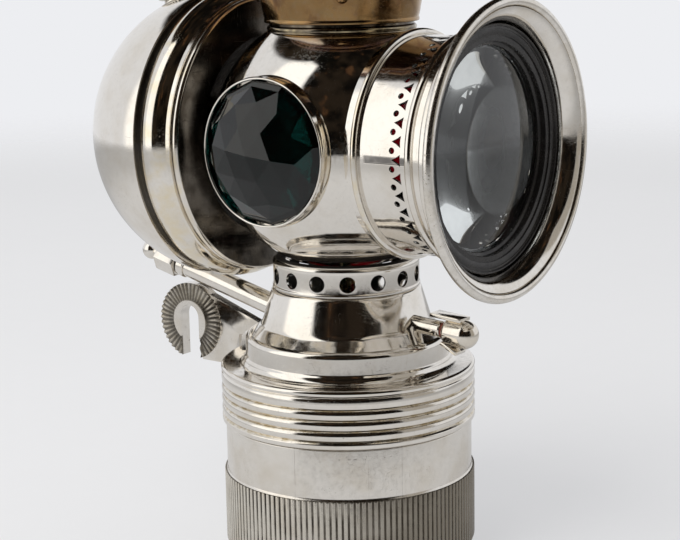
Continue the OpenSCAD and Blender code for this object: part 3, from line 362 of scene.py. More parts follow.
def new_group(kind, name, inputs, outputs):
    """An empty group with named sockets: its pen, what comes in and the node that takes the result."""
    tree = bpy.data.node_groups.new(name, kind)
    for label, socket_type, *default in inputs:
        socket = tree.interface.new_socket(label, in_out="INPUT", socket_type=socket_type)
        if default:
            socket.default_value = default[0]
    for label, socket_type in outputs:
        tree.interface.new_socket(label, in_out="OUTPUT", socket_type=socket_type)
    return Pen(tree), tree.nodes.new("NodeGroupInput").outputs, tree.nodes.new("NodeGroupOutput")


def new_wall_tree(name, *inputs):
    """An empty geometry tree that works on a shape and has a count, a start angle and a material."""
    shape = ("Geometry", "NodeSocketGeometry")
    shared = (("Count", "NodeSocketInt"), ("Start", FLOAT), ("Material", "NodeSocketMaterial"))
    return new_group("GeometryNodeTree", name, (shape, *inputs, *shared), (shape,))


def ring_instances(pen, source, given):
    """Instances of a geometry turned about Z, realized."""
    points = pen.put("GeometryNodePoints", {"Count": given["Count"]}).outputs[0]
    step = pen.calc("DIVIDE", 2 * math.pi, given["Count"])
    turn = pen.add_part(pen.put("GeometryNodeInputIndex").outputs[0], step, given["Start"])
    spin = pen.put("ShaderNodeCombineXYZ", {"Z": turn}).outputs[0]
    placed = pen.put("GeometryNodeInstanceOnPoints", {"Points": points, "Instance": source, "Rotation": spin})
    return realize(pen, placed.outputs[0])


def realize(pen, geometry):
    """Realize Instances."""
    return pen.put("GeometryNodeRealizeInstances", {0: geometry}).outputs[0]


def finish_tree(pen, geometry, given, result):
    """End a tree in Realize Instances and Set Material."""
    real = realize(pen, geometry)
    paint = pen.put("GeometryNodeSetMaterial", {"Geometry": real, "Material": given["Material"]})
    pen.fill(result, {0: paint.outputs[0]})
    return pen.tree


def make_ring_tree():
    """Copies of the incoming shape round its Z axis: ribs, rivets, flutes."""
    pen, given, result = new_wall_tree("Ring of copies")
    return finish_tree(pen, ring_instances(pen, given["Geometry"], given), given, result)


def make_pierce_tree():
    """Holes round the incoming wall, cut by copies of a cutter: perforations, air holes, vents."""
    pen, given, result = new_wall_tree("Pierced wall", ("Cutter", "NodeSocketObject"))
    info = pen.put("GeometryNodeObjectInfo", {"Object": given["Cutter"]}).outputs["Geometry"]
    cut = pen.put("GeometryNodeMeshBoolean", operation="DIFFERENCE", solver="EXACT")
    pen.fill(cut, {"Mesh 1": given["Geometry"], "Mesh 2": ring_instances(pen, info, given)})
    return finish_tree(pen, cut.outputs["Mesh"], given, result)


def run_tree(obj, key, count, start, material, **values):
    """Run a tree on an object, keep the result as its mesh and drop the modifier. Start is in degrees."""
    modifier = obj.modifiers.new("nodes", "NODES")
    modifier.node_group = TREES[key]
    ids = {s.name: s.identifier for s in TREES[key].interface.items_tree
           if s.item_type == "SOCKET" and s.in_out == "INPUT"}
    values.update(Count=count, Start=math.radians(start), Material=material)
    for name, value in values.items():
        modifier[ids[name]] = value
    bpy.context.view_layer.update()
    graph = bpy.context.evaluated_depsgraph_get()
    mesh = bpy.data.meshes.new_from_object(obj.evaluated_get(graph))
    obj.modifiers.clear()
    obj.data = mesh


def pierce(obj, place, cutters, material):
    """Cut rings of holes in a wall: cutters are (cutter object in local mm, count, start in degrees)."""
    home = TO_METRES @ place
    obj.data.transform(home.inverted())
    for cutter, count, start in cutters:
        run_tree(obj, "pierce", count, start, material, Cutter=cutter)
        bpy.data.objects.remove(cutter)
    obj.data.transform(home)
    shade(obj.data)


def raised_ring(name, verts, across, count, material, place=UPRIGHT):
    """Raised strips round an axis, from the points of one strip in rows of so many across."""
    faces = [(i * across + j, i * across + j + 1, (i + 1) * across + j + 1, (i + 1) * across + j)
             for i in range(len(verts) // across - 1) for j in range(across - 1)]
    mesh = bpy.data.meshes.new(name)
    mesh.from_pydata(verts, [], faces)
    strips = new_object(name, mesh)
    run_tree(strips, "ring", count, 0.0, material)
    strips.data.transform(TO_METRES @ place)
    shade(strips.data, 50)
    return strips


def round_cutter(radius, height, near, far, sides=20):
    """A bar along local X at a height, from near to far."""
    bm = bmesh.new()
    bmesh.ops.create_cone(bm, cap_ends=True, segments=sides, radius1=radius, radius2=radius, depth=far - near)
    bmesh.ops.rotate(bm, matrix=Matrix.Rotation(math.radians(90), 3, "Y"), verts=bm.verts)
    bmesh.ops.translate(bm, vec=((near + far) / 2, 0, height), verts=bm.verts)
    return new_object("cutter", take_mesh(bm, "cutter"))


def heart_cutter(side, height, near, far):
    """A three-cornered bar with hollow sides along local X; its point looks to local -Z."""
    outline = []
    corners = [(0.0, -0.62 * side), (0.52 * side, 0.30 * side), (-0.52 * side, 0.30 * side)]
    for a, b in zip(corners, corners[1:] + corners[:1]):
        for i in range(5):
            t = i / 5
            m = Vector(a).lerp(Vector(b), t)
            pull = 0.035 * side * math.sin(math.pi * t)
            outline.append(m - m.normalized() * pull)
    bm = bmesh.new()
    first, last = ([bm.verts.new((x, p.x, height + p.y)) for p in outline] for x in (near, far))
    bm.faces.new(first)
    bm.faces.new(last[::-1])
    for i in range(len(outline)):
        j = (i + 1) % len(outline)
        bm.faces.new((first[i], last[i], last[j], first[j]))
    bmesh.ops.recalc_face_normals(bm, faces=bm.faces)
    return new_object("cutter", take_mesh(bm, "cutter"))


# Shader groups

def make_axis_group():
    """How far a point in mm lies from an axis, and along it."""
    origin = (0, 0, 0)
    pen, given, result = new_group(
        "ShaderNodeTree", "Distance from axis",
        [("Position", VECTOR, origin), ("Centre", VECTOR, origin), ("Direction", VECTOR, (0, 0, 1))],
        [("Radius", FLOAT), ("Along", FLOAT)])
    off = pen.vector("SUBTRACT", given["Position"], given["Centre"])
    along = pen.dot(off, given["Direction"])
    rest = pen.vector("SUBTRACT", off, pen.scaled(given["Direction"], along))
    pen.fill(result, {"Radius": pen.length(rest), "Along": along})
    return pen.tree


def make_plate_group():
    """Old bright plating: clouded tint, specks, fine scratches and a slightly wavy surface."""
    pen, given, result = new_group(
        "ShaderNodeTree", "Old plating",
        [("Position", VECTOR, (0, 0, 0)), ("Tint", COLOUR, (0.8, 0.78, 0.74, 1)),
         ("Stain", COLOUR, (0.5, 0.42, 0.28, 1)), ("Age", FLOAT, 0.5), ("Roughness", FLOAT, 0.08)],
        [("Color", COLOUR), ("Roughness", FLOAT), ("Height", FLOAT)])
    p, age = given["Position"], given["Age"]
    cloud = pen.noise(p, 0.11, 4, 0.55)
    haze = pen.noise(p, 0.7, 5, 0.6)
    speck = pen.times(pen.patches(p, 1.15, 2, 0.735, 0.80, 0.45), pen.patches(p, 0.09, 1, 0.45, 0.62))
    lines = None
    for scale, turn in (((0.05, 1.3, 0.9), (0.3, 0.5, 0.2)), ((0.9, 0.06, 1.1), (0.9, 0.1, 0.7)),
                        ((1.2, 0.8, 0.07), (0.1, 0.25, 0.4))):
        off = pen.gap(pen.noise(pen.stretched(p, scale, turn), 1.0, 1.0), 0.5)
        places = pen.patches(pen.stretched(p, (0.12, 0.12, 0.12), turn), 1.0, 1, 0.52, 0.64)
        thin = pen.times(pen.fade(off, 0.0, 0.006), places)
        lines = thin if lines is None else pen.most(lines, thin)
    marks = pen.times(lines, age)
    clouded = pen.times(pen.ramp(cloud, 0.42, 0.72), pen.times(age, 0.4))
    colour = pen.tone(clouded, given["Tint"], given["Stain"])
    colour = pen.stain(colour, pen.ramp(haze, 0.45, 0.75), 0.10, (0.45, 0.42, 0.38))
    colour = pen.stain(colour, speck, 0.75, (0.10, 0.07, 0.04))
    colour = pen.stain(colour, marks, 0.35, (0.30, 0.27, 0.23))
    rough = pen.add_part(pen.times(pen.ramp(haze, 0.35, 0.7), age), 0.09, given["Roughness"])
    rough = pen.add_part(pen.most(speck, marks), 0.25, rough)
    height = pen.times(cloud, 0.05)
    for mark, depth in ((haze, 0.0016), (speck, -0.02), (marks, -0.006)):
        height = pen.add_part(mark, depth, height)
    pen.fill(result, {"Color": colour, "Roughness": rough, "Height": height})
    return pen.tree


def make_grain_group():
    """Cloud and grain for plain surfaces such as felt, rubber, steatite and soot."""
    pen, given, result = new_group(
        "ShaderNodeTree", "Grain",
        [("Position", VECTOR, (0, 0, 0)), ("Light", COLOUR, (0.5, 0.5, 0.5, 1)),
         ("Dark", COLOUR, (0.3, 0.3, 0.3, 1)), ("Size", FLOAT, 1.0), ("Roughness", FLOAT, 0.6)],
        [("Color", COLOUR), ("Roughness", FLOAT), ("Height", FLOAT)])
    p = given["Position"]
    coarse = pen.noise(p, pen.calc("DIVIDE", 0.25, given["Size"]), 4, 0.6)
    fine = pen.noise(p, pen.calc("DIVIDE", 3.0, given["Size"]), 3, 0.6)
    both = pen.plus(pen.times(coarse, 0.6), pen.times(fine, 0.4))
    colour = pen.tone(pen.ramp(both, 0.36, 0.64), given["Dark"], given["Light"])
    rough = pen.add_part(pen.ramp(both, 0.35, 0.65), -0.12, pen.plus(given["Roughness"], 0.06))
    pen.fill(result, {"Color": colour, "Roughness": rough, "Height": fine})
    return pen.tree


def make_trees():
    """Build each shared tree once."""
    TREES.update(ring=make_ring_tree(), pierce=make_pierce_tree(), axis=make_axis_group(),
                 plate=make_plate_group(), grain=make_grain_group())


# Materials

AXES = {"up": ((0, 0, 0), (0, 0, 1)), "head": (HEAD, (0, 1, 0)), "ball": (HEAD, (0, 0, 0)),
        "tank": (TANK, (0, 1, 0)), "tankball": (TANK, (0, 0, 0)),
        "jewel": ((0, JEWEL_Y, HEAD_Z), (1, 0, 0)), "boss": (BOSS, (1, 0, 0))}


def rgba(colour, share=1.0):
    """A colour times a share, with its alpha."""
    return (*[c * share for c in colour], 1)


def start_material(name):
    """An empty material: its pen, its shader and the position in millimetres."""
    material = bpy.data.materials.new(name)
    material.use_nodes = True
    material.node_tree.nodes.clear()
    pen = Pen(material.node_tree)
    shader = pen.put("ShaderNodeBsdfPrincipled")
    pen.put("ShaderNodeOutputMaterial", {"Surface": shader.outputs[0]})
    return material, pen, shader, pen.scaled(pen.put("ShaderNodeTexCoord").outputs["Object"], 1000.0)


def surface(pen, shader, colour, roughness, height, **others):
    """Feed the shader a colour, a roughness and a height in mm, and what others it takes."""
    bump = pen.put("ShaderNodeBump", {"Height": height, "Strength": 0.6, "Distance": MM})
    pen.fill(shader, {"Base Color": colour, "Roughness": roughness, "Normal": bump.outputs[0], **others})


def nickel(name, axis="up", tint=None, age=0.5, rough=0.06, soot_and_shade=None, grime=None, warm=None, extra=None):
    """Nickel plate. soot_and_shade: radii inside which the wall is painted near-black, soot in the head and
    chimney and painted shade inside and under the can. grime: (dirty radius, clean radius).
    warm: (low radius, high radius) where the plating has worn to a yellow tint. extra: adds marks, painted
    reflections and painted shade."""
    look = bpy.context.scene.lamp_finish
    material, pen, shader, p = start_material(name)
    centre, direction = AXES[axis]
    where = pen.group("axis", Position=p, Centre=centre, Direction=direction).outputs
    plate = pen.group("plate", Position=p, Tint=rgba(tint or look.nickel), Stain=rgba(look.stain),
                      Age=age * look.age, Roughness=rough).outputs
    radius, metal = where["Radius"], 1.0
    colour, roughness, height = plate["Color"], plate["Roughness"], plate["Height"]
    if warm:
        mask = pen.times(pen.ramp(radius, *warm), pen.patches(p, 0.25, 3, 0.35, 0.7))
        colour = pen.stain(colour, mask, 0.55, (0.78, 0.66, 0.42))
    if grime:
        mask = pen.times(pen.fade(radius, *grime), pen.patches(p, 0.12, 4, 0.3, 0.62, 0.6, 0.35))
        colour = pen.stain(colour, mask, 0.9, (0.05, 0.04, 0.03))
        roughness = pen.add_part(mask, 0.4, roughness)
    if extra:
        colour, roughness, height = extra(pen, p, where, colour, roughness, height)
    # Near-black inner walls: soot in the head and chimney, painted shade inside and under the can.
    if soot_and_shade:
        mask = pen.fade(radius, *soot_and_shade)
        black = pen.group("grain", Position=p, Light=(0.045, 0.038, 0.032, 1), Dark=(0.012, 0.010, 0.009, 1),
                          Size=2.0, Roughness=0.5)
        colour = pen.tone(mask, colour, black.outputs["Color"])
        roughness = pen.add_part(mask, 0.34, roughness)
        metal = pen.add_part(mask, -0.45, 1.0)
    surface(pen, shader, colour, roughness, height, Metallic=metal)
    return material


def plain(name, light, dark, rough, size=1.0, metallic=0.0, bump=0.05, sheen=0.0):
    """A dull surface with cloud and grain."""
    material, pen, shader, p = start_material(name)
    grain = pen.group("grain", Position=p, Light=rgba(light), Dark=rgba(dark), Size=size,
                      Roughness=rough).outputs
    surface(pen, shader, grain["Color"], grain["Roughness"], pen.times(grain["Height"], bump), Metallic=metallic,
            **{"Sheen Weight": sheen})
    return material


def heated_brass(name, low, high):
    """Brass that the flame has coloured: gold at the foot, brown and purple towards the top."""
    material, pen, shader, p = start_material(name)
    rise = pen.ramp(pen.group("axis", Position=p).outputs["Along"], low, high, smooth=False)
    heat = pen.plus(pen.times(rise, 0.45), pen.times(pen.noise(p, 0.16, 4, 0.6, 0.6), 0.85))
    colour = tuple(bpy.context.scene.lamp_finish.brass)
    for start, end, hotter in ((0.30, 0.52, (0.33, 0.20, 0.085)), (0.50, 0.66, (0.20, 0.105, 0.05)),
                               (0.66, 0.86, (0.12, 0.07, 0.09))):
        colour = pen.tone(pen.ramp(heat, start, end), colour, hotter)
    plate = pen.group("plate", Position=p, Tint=colour, Stain=(0.12, 0.065, 0.04, 1), Age=0.9,
                      Roughness=0.15).outputs
    surface(pen, shader, plate["Color"], plate["Roughness"], plate["Height"], Metallic=1.0)
    return material


def glass(name, colour, ior=1.52, rough=0.0, bump=0.01):
    """Cast glass with a faintly uneven surface."""
    material, pen, shader, p = start_material(name)
    grain = pen.group("grain", Position=p, Light=rgba(colour), Dark=rgba(colour, 0.8), Size=6.0,
                      Roughness=rough)
    surface(pen, shader, grain.outputs["Color"], rough, pen.times(pen.noise(p, 0.12, 2), bump), IOR=ior,
            **{"Transmission Weight": 1.0})
    return material


# Pieces in their finish

def dress(obj, material):
    """Give an object one material."""
    obj.data.materials.clear()
    obj.data.materials.append(material)
    return obj


def settle(obj, body, slot, *nodes):
    """A finished piece rides on its body and stands for its nodes; its slot is not used."""
    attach(obj, body)
    if nodes:
        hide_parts(*nodes)


def turned(node, name, outline, material, slot, place=UPRIGHT, steps=200, body="lamp", angle=38):
    """A piece turned from an outline takes the place of its node."""
    settle(dress(lathe(name, outline, steps, place, angle), material), body, slot, node)


def refined(node, name, material, slot, bevel=0.0, angle=30, body="lamp"):
    """A smooth copy of a node takes its place."""
    settle(dress(smooth_copy(node, name, bevel, angle), material), body, slot, node)


def old_rubber(name, size):
    """Hardened red rubber for a washer."""
    return plain(name, (0.22, 0.06, 0.035), (0.10, 0.03, 0.02), 0.75, size, 0.0, 0.04)


# Settings

def colour_setting(name, description, default):
    """A colour that the panel shows."""
    return bpy.props.FloatVectorProperty(name=name, description=description, subtype="COLOR", size=3,
                                         default=default, min=0, max=1)


def length_setting(name, description, default, least, most):
    """A length in metres that the panel shows."""
    return bpy.props.FloatProperty(name=name, description=description, unit="LENGTH", default=default,
                                   min=least, max=most, precision=5)


def count_setting(name, description, default, least, most):
    """A count that the panel shows."""
    return bpy.props.IntProperty(name=name, description=description, default=default, min=least, max=most)


class LampFinish(bpy.types.PropertyGroup):
    """Colours and age of the lamp's surfaces."""
    nickel: colour_setting("Nickel", "Colour of the bright nickel plate", (0.80, 0.765, 0.71))
    stain: colour_setting("Stain", "Colour of the plate where it is stained", (0.60, 0.52, 0.40))
    brass: colour_setting("Brass", "Colour of the brass where it is cleanest", (0.31, 0.21, 0.10))
    green: colour_setting("Green glass", "Colour of the left jewel", (0.0012, 0.030, 0.026))
    red: colour_setting("Red glass", "Colour of the right jewel", (0.10, 0.001, 0.003))
    age: bpy.props.FloatProperty(name="Age", description="How stained and scratched the plating is",
                                 subtype="FACTOR", default=1.0, min=0, max=1.5)


class LampPatterns(bpy.types.PropertyGroup):
    """Counts and sizes of what repeats."""
    ribs: count_setting("Grip ribs", "Number of upright ribs round the grip", 136, 60, 180)
    rib_height: length_setting("Rib height", "How far a grip rib stands out", 0.00040, 0.0001, 0.0006)
    perforations: count_setting("Perforations", "Number of dots, and of triangles, in the band", 39, 20, 41)
    dot: length_setting("Dot", "Diameter of the round perforations", 0.0015, 0.001, 0.002)
    air_holes: count_setting("Air holes", "Number of holes in the air gallery", 15, 12, 16)
    vents: count_setting("Vents", "Number of vent holes in the cowl", 16, 12, 18)
    flutes: count_setting("Cap flutes", "Number of flutes round the filler cap", 40, 20, 60)


class LampStudio(bpy.types.PropertyGroup):
    """Floor, background and light."""
    floor: colour_setting("Floor", "Colour of the table", (0.80, 0.79, 0.775))
    sky: colour_setting("Background", "Colour of the background", (0.847, 0.855, 0.88))
    panels: bpy.props.FloatProperty(name="Panels", description="Brightness of the two light panels",
                                    default=1.35, min=0, max=4)


# Marks on the plating, painted reflections and painted shade, each for one piece

def can_reflections_and_marks(pen, p, where, colour, rough, height):
    """Dark upright lines, a dotted scratch and rub marks on the plain wall. The two lines where the edges of the
    light panels mirror in the wall towards the camera are painted reflections; the two others, nearly opposite
    each other, are joint lines.
    """
    x, y, _ = pen.split(p)
    turn = pen.calc("ARCTAN2", y, x)
    reflections_and_marks = None
    # Painted reflections: the lines at -2.94 and -2.09 stand where the edges of the two light panels mirror
    # towards the camera.
    for angle, width, strength in ((-2.94, 0.0032, 0.55), (-2.36, 0.0028, 0.4), (-2.09, 0.0034, 0.6),
                                   (0.8, 0.003, 0.5)):
        line = pen.ramp(pen.gap(turn, angle), 0.0, width, strength, 0.0)
        reflections_and_marks = line if reflections_and_marks is None else pen.most(reflections_and_marks, line)
    reflections_and_marks = pen.times(reflections_and_marks, pen.patches(p, 0.35, 3, 0.35, 0.6, 0.5, 0.3))
    run = pen.gap(where["Along"], pen.add_part(turn, 0.4, 35.2))
    dotted = pen.times(pen.fade(run, 0.0, 0.14), pen.patches(pen.stretched(p, (1, 1, 0.2)), 1.7, 1, 0.52, 0.6))
    dotted = pen.times(dotted, pen.ramp(pen.gap(turn, -2.4), 0.18, 0.26, 0.8, 0.0))
    reflections_and_marks = pen.most(reflections_and_marks, dotted)
    brushed = pen.noise(pen.stretched(p, (0.5, 0.5, 9)), 1.0, 2)
    height = pen.add_part(brushed, 0.0012, pen.add_part(reflections_and_marks, -0.02, height))
    return pen.stain(colour, reflections_and_marks, 0.7, (0.12, 0.09, 0.07)), pen.add_part(brushed, 0.10, rough), height


def grip_painted_shade(pen, p, where, colour, rough, height):
    """The grip is painted darker towards the camera's right: painted shade."""
    # Painted shade: darker along the camera's right-hand direction.
    side = pen.add_part(pen.noise(p, 0.2, 3), 14.0, pen.dot(p, (0.6, -0.8, 0)))
    return pen.stain(colour, pen.ramp(side, -12.0, 26.0), 0.85, (0.17, 0.145, 0.11)), rough, height


def skirt_marks(pen, p, where, colour, rough, height):
    """Yellowed and speckled creases between the ribs."""
    z = where["Along"]
    wave = pen.calc("SINE", pen.times(pen.less(z, RIBS_Z - 0.65), 2 * math.pi / RIB_PITCH))
    mask = pen.times(pen.ramp(wave, 0.1, 0.9), pen.fade(z, BELT_Z + 0.2, BELT_Z + 0.6))
    mask = pen.times(mask, pen.patches(p, 0.3, 4, 0.40, 0.62, 0.65, 0.25))
    pits = pen.times(pen.patches(p, 1.6, 2, 0.62, 0.72), mask)
    colour = pen.stain(colour, mask, 0.6, (0.46, 0.36, 0.18))
    colour = pen.stain(colour, pits, 0.8, (0.08, 0.05, 0.03))
    return colour, pen.add_part(mask, 0.12, rough), pen.add_part(pits, -0.02, height)


def band_marks(pen, p, where, colour, rough, height):
    """A dark smear of solder along the band's joint, on the left side."""
    smear_z, line_z = HEAD_Z - 0.2, HEAD_Z - 1.0
    x, y, z = pen.split(p)
    place = pen.times(pen.ramp(x, -20.0, -24.0), pen.ramp(y, -24.2, -25.2))
    wide = pen.times(pen.fade(pen.gap(z, smear_z), 0.5, 1.0), pen.patches(p, 0.35, 1, 0.25, 0.55, 0.5, 0.75))
    thin = pen.fade(pen.gap(z, line_z), 0.06, 0.2)
    mask = pen.times(pen.most(wide, thin), place)
    colour = pen.stain(colour, mask, 0.85, (0.10, 0.095, 0.095))
    return colour, pen.add_part(mask, 0.3, rough), pen.add_part(mask, -0.02, height)


def bell_marks(pen, p, where, colour, rough, height):
    """The rolled edge and the mouth are rubbed dull and mottled."""
    mask = pen.ramp(where["Radius"], 30.5, 34.0)
    mottle = pen.patches(p, 0.5, 5, 0.40, 0.66, 0.65)
    both = pen.times(mask, pen.most(pen.times(mottle, 0.5), pen.patches(p, 1.3, 3, 0.60, 0.70)))
    rough = pen.add_part(mask, 0.10, pen.add_part(both, 0.12, rough))
    return pen.stain(colour, both, 0.45, (0.42, 0.38, 0.30)), rough, pen.add_part(both, -0.006, height)


def tank_tarnish_and_shade(pen, p, where, colour, rough, height):
    """Tarnish and painted shade: the groove is painted black. The dished front wall, which faces the globe
    across a narrow gap, is painted near-black, dull and faintly speckled: painted shade.
    """
    radius = where["Radius"]
    # Tarnish and painted shade: the groove by the seam is painted black.
    near = pen.fade(pen.gap(where["Along"], SEAM_Y - TANK_Y + 0.2), 0.5, 1.0)
    mask = pen.times(near, pen.fade(radius, GROOVE_R + 0.3, GROOVE_R + 0.9))
    colour = pen.stain(colour, mask, 0.9, (0.03, 0.025, 0.02))
    # Painted shade: the dish facing the globe across a narrow gap is painted near-black.
    dish = pen.fade(radius, 33.75, 34.0)
    haze = pen.patches(p, 0.2, 4, 0.35, 0.65, 0.5, 0.88, 0.98)
    colour = pen.tone(pen.times(dish, haze), colour, (0.05, 0.042, 0.034))
    return colour, pen.add_part(mask, 0.4, pen.add_part(dish, 0.12, rough)), height


def boss_marks(pen, p, where, colour, rough, height):
    """The serrated ring is worn grey, with dirt in its notches."""
    radius, along = where["Radius"], where["Along"]
    ring = pen.times(pen.ramp(radius, 5.3, 5.9), pen.fade(radius, 10.2, 10.5))
    ring = pen.times(ring, pen.ramp(along, -1.5, -1.9))
    patch = pen.patches(p, 0.45, 4, 0.3, 0.65, 0.6, 0.45)
    colour = pen.tone(pen.times(ring, patch), colour, (0.42, 0.38, 0.31))
    colour = pen.stain(colour, pen.times(ring, pen.ramp(along, -2.32, -2.0)), 0.7, (0.06, 0.05, 0.04))
    return colour, pen.add_part(ring, 0.28, rough), height


# Pieces

class LampPiece(bpy.types.Operator):
    """What the lamp's operators share."""
    bl_options = {"REGISTER", "UNDO"}


class LAMP_OT_container(LampPiece):
    """Turn the can with its ribbed grip, and finish the cup, the spring and the gasket"""
    bl_idname = "lamp.container"
    bl_label = "Carbide container"

    def execute(self, context):
        marks = context.scene.lamp_patterns
        rib = marks.rib_height / MM
        base = GRIP_R - rib
        corner, wall, throat, sunk = GRIP_R - CAN_CORNER, CAN_R - CAN_WALL, NECK_R - CAN_WALL, base - 0.3
        outer = [(0, 0)] + arc(corner, CAN_CORNER, CAN_CORNER - rib, -90, 0, 12)
        outer += soften([(base, 6), (base, GRIP_H - 0.55), (CAN_R, GRIP_H - 0.1), (CAN_R, SKIRT_Z - 0.25),
                         (NECK_R, SKIRT_Z - 0.25), (NECK_R, CAN_TOP)], 0.2)
        inner = [(throat, CAN_TOP), (throat, SKIRT_Z - 2), (wall, SKIRT_Z - 3), (wall, GRIP_H)]
        inner += arc(corner, CAN_CORNER, CAN_CORNER - CAN_WALL, 0, -90, 10) + [(0, CAN_WALL)]
        # The can's throat and floor, inside and out, are painted near-black: painted shade.
        can_plate = nickel("can_nickel", age=0.9, rough=0.13, extra=can_reflections_and_marks, soot_and_shade=(29.4, 29.6))
        rib_plate = nickel("grip_nickel", age=1.0, rough=0.2, grime=(base + 0.12, base + 0.38),
                           tint=(0.74, 0.70, 0.62), extra=grip_painted_shade)
        can = dress(lathe("can", outer + inner, 272), can_plate)
        pitch = 2 * math.pi * base / marks.ribs
        section = [(math.sin(t) * pitch * 0.40, math.cos(t) ** 0.7 * rib)
                   for t in np.radians([-88, -62, -38, -13, 13, 38, 62, 88])]
        rows = [(4.6, 0.0), (5.6, 1.0), (GRIP_H - 0.75, 1.0), (GRIP_H - 0.55, 0.85), (GRIP_H - 0.5, 0.0)]
        verts = [(base + h * k if k else base - 0.15, x, z) for z, k in rows for x, h in section]
        ribs = raised_ring("grip_ribs", verts, len(section), marks.ribs, rib_plate)
        floor = [(sunk, 4.4), (base + 0.01, 5), (base + 0.01, GRIP_H - 0.52), (sunk, GRIP_H - 0.5)]
        can = join("can", [can, ribs, dress(lathe("grip_floor", floor, 272), rib_plate)])
        settle(can, "container", "nickel", "carbide_container")
        tin = plain("tinned_sheet", (0.62, 0.61, 0.58), (0.40, 0.39, 0.37), 0.35, 2.0, 0.9, 0.01)
        refined("carbide_cup", "cup", tin, "tin", body="container")
        steel = plain("spring_steel", (0.30, 0.30, 0.31), (0.16, 0.15, 0.15), 0.3, 1.5, 1.0, 0.01)
        refined("bow_spring", "spring", steel, "steel", body="container")
        rubber = plain("red_rubber", (0.26, 0.07, 0.04), (0.13, 0.035, 0.025), 0.75, 1.0, 0.0, 0.04)
        refined("container_gasket", "gasket", rubber, "rubber", body="gasket_ring")
        return {"FINISHED"}


class LAMP_OT_generator(LampPiece):
    """Turn the ribbed skirt, shoulder and cone, and finish the felt and the drip tube"""
    bl_idname = "lamp.generator"
    bl_label = "Gas dome"

    def execute(self, context):
        edge, inside, foot = SHOULDER_R - ROLL_R, SHOULDER_R - DOME_WALL, SHOULDER_R + 2

        def cone_r(h):
            if h < WAIST_UP:
                return edge + (WAIST_R - edge) * h / WAIST_UP
            return WAIST_R + (GALLERY_R + 0.2 - WAIST_R) * (h - WAIST_UP) / CONE_UP

        outer = [(SKIRT_OUT, SKIRT_Z), (SKIRT_OUT + 0.6, SKIRT_Z + 0.4), (SKIRT_OUT + 0.6, RIBS_Z - 0.5),
                 (SKIRT_OUT - 0.05, RIBS_Z)]
        for k in range(3):
            outer += arc(SKIRT_OUT, RIBS_Z + RIB_PITCH * (k + 0.5), 0.62, -80, 80, 8, 1.92)
            outer.append((SKIRT_OUT - 0.12, RIBS_Z + RIB_PITCH * (k + 1)))
        outer += about(SKIRT_OUT, BELT_Z, (0.45, 0.35), (0.62, 1.4))
        outer += about(SKIRT_OUT, LIP_Z, (0.5, -0.4), (-0.02, 0))
        outer += arc(SKIRT_OUT - 0.2, LIP_Z + 0.85, 0.85, -60, 90, 10)
        outer += [(foot, COVE_Z)] + arc(foot, WALL_Z, 1.5, -90, -180, 7)[1:]
        outer += [(SHOULDER_R, WALL_Z + 0.5), (SHOULDER_R, ROLL_Z)] + arc(edge, ROLL_Z, ROLL_R, 0, 90, 8)[1:]
        cone = [(cone_r(h), CONE_Z + h) for h in (0.0, 1.3, 2.6, 5.95, 11.9)]
        outer = soften(outer, 0.16, 2) + soften([outer[-1]] + cone + [(0, GALLERY_Z)], 1.2, 6)[1:]
        inner = [(0, GALLERY_Z - DOME_WALL)] + [(r - DOME_WALL - 0.25, z - DOME_WALL) for r, z in cone[::-1]]
        inner += [(inside, ROLL_Z - 0.5), (inside, CEILING_Z), (SKIRT_IN, CEILING_Z), (SKIRT_IN, SKIRT_Z)]
        plate = nickel("dome_nickel", age=0.7, rough=0.07, extra=skirt_marks)
        turned("gas_dome", "dome", outer + inner, plate, "nickel", steps=256)
        felt = plain("felt", (0.74, 0.70, 0.60), (0.46, 0.42, 0.34), 0.95, 0.6, 0.0, 0.25, sheen=0.3)
        refined("gas_filter", "filter", felt, "felt")
        brass = nickel("plain_brass", tint=(0.80, 0.58, 0.28), age=0.9, rough=0.16)
        refined("drip_tube", "drip", brass, "brass")
        return {"FINISHED"}


class LAMP_OT_gallery(LampPiece):
    """Turn the air gallery and pierce its ring of holes"""
    bl_idname = "lamp.gallery"
    bl_label = "Air gallery"

    def execute(self, context):
        foot, top, inside = GALLERY_Z, GALLERY_Z + GALLERY_H, GALLERY_R - GALLERY_WALL
        outer = about(GALLERY_R, foot, (0.12, 0), (0.12, 0.5), (-0.1, 0.75))
        outer += about(GALLERY_R, top, (-0.1, -2.0), (0, -1.6))
        outer += arc(GALLERY_R - 1, top - 1.4, 1.0, 0, 90, 6) + [(GALLERY_R - 2.2, top - 0.1)]
        inner = [(GALLERY_R - 3.2, top - 0.9), (inside, top - 1.8), (inside, foot)]
        plate = nickel("gallery_nickel", age=0.8, rough=0.08, soot_and_shade=(17.55, 17.65))
        gallery = lathe("gallery", soften(outer, 0.12, 2) + inner, 240)
        holes = round_cutter(AIR_R, foot + AIR_UP, GALLERY_R - 3, GALLERY_R + 2, 28)
        pierce(gallery, UPRIGHT, [(holes, context.scene.lamp_patterns.air_holes, AIR_TURN)], plate)
        settle(gallery, "lamp", "nickel", "air_gallery")
        return {"FINISHED"}


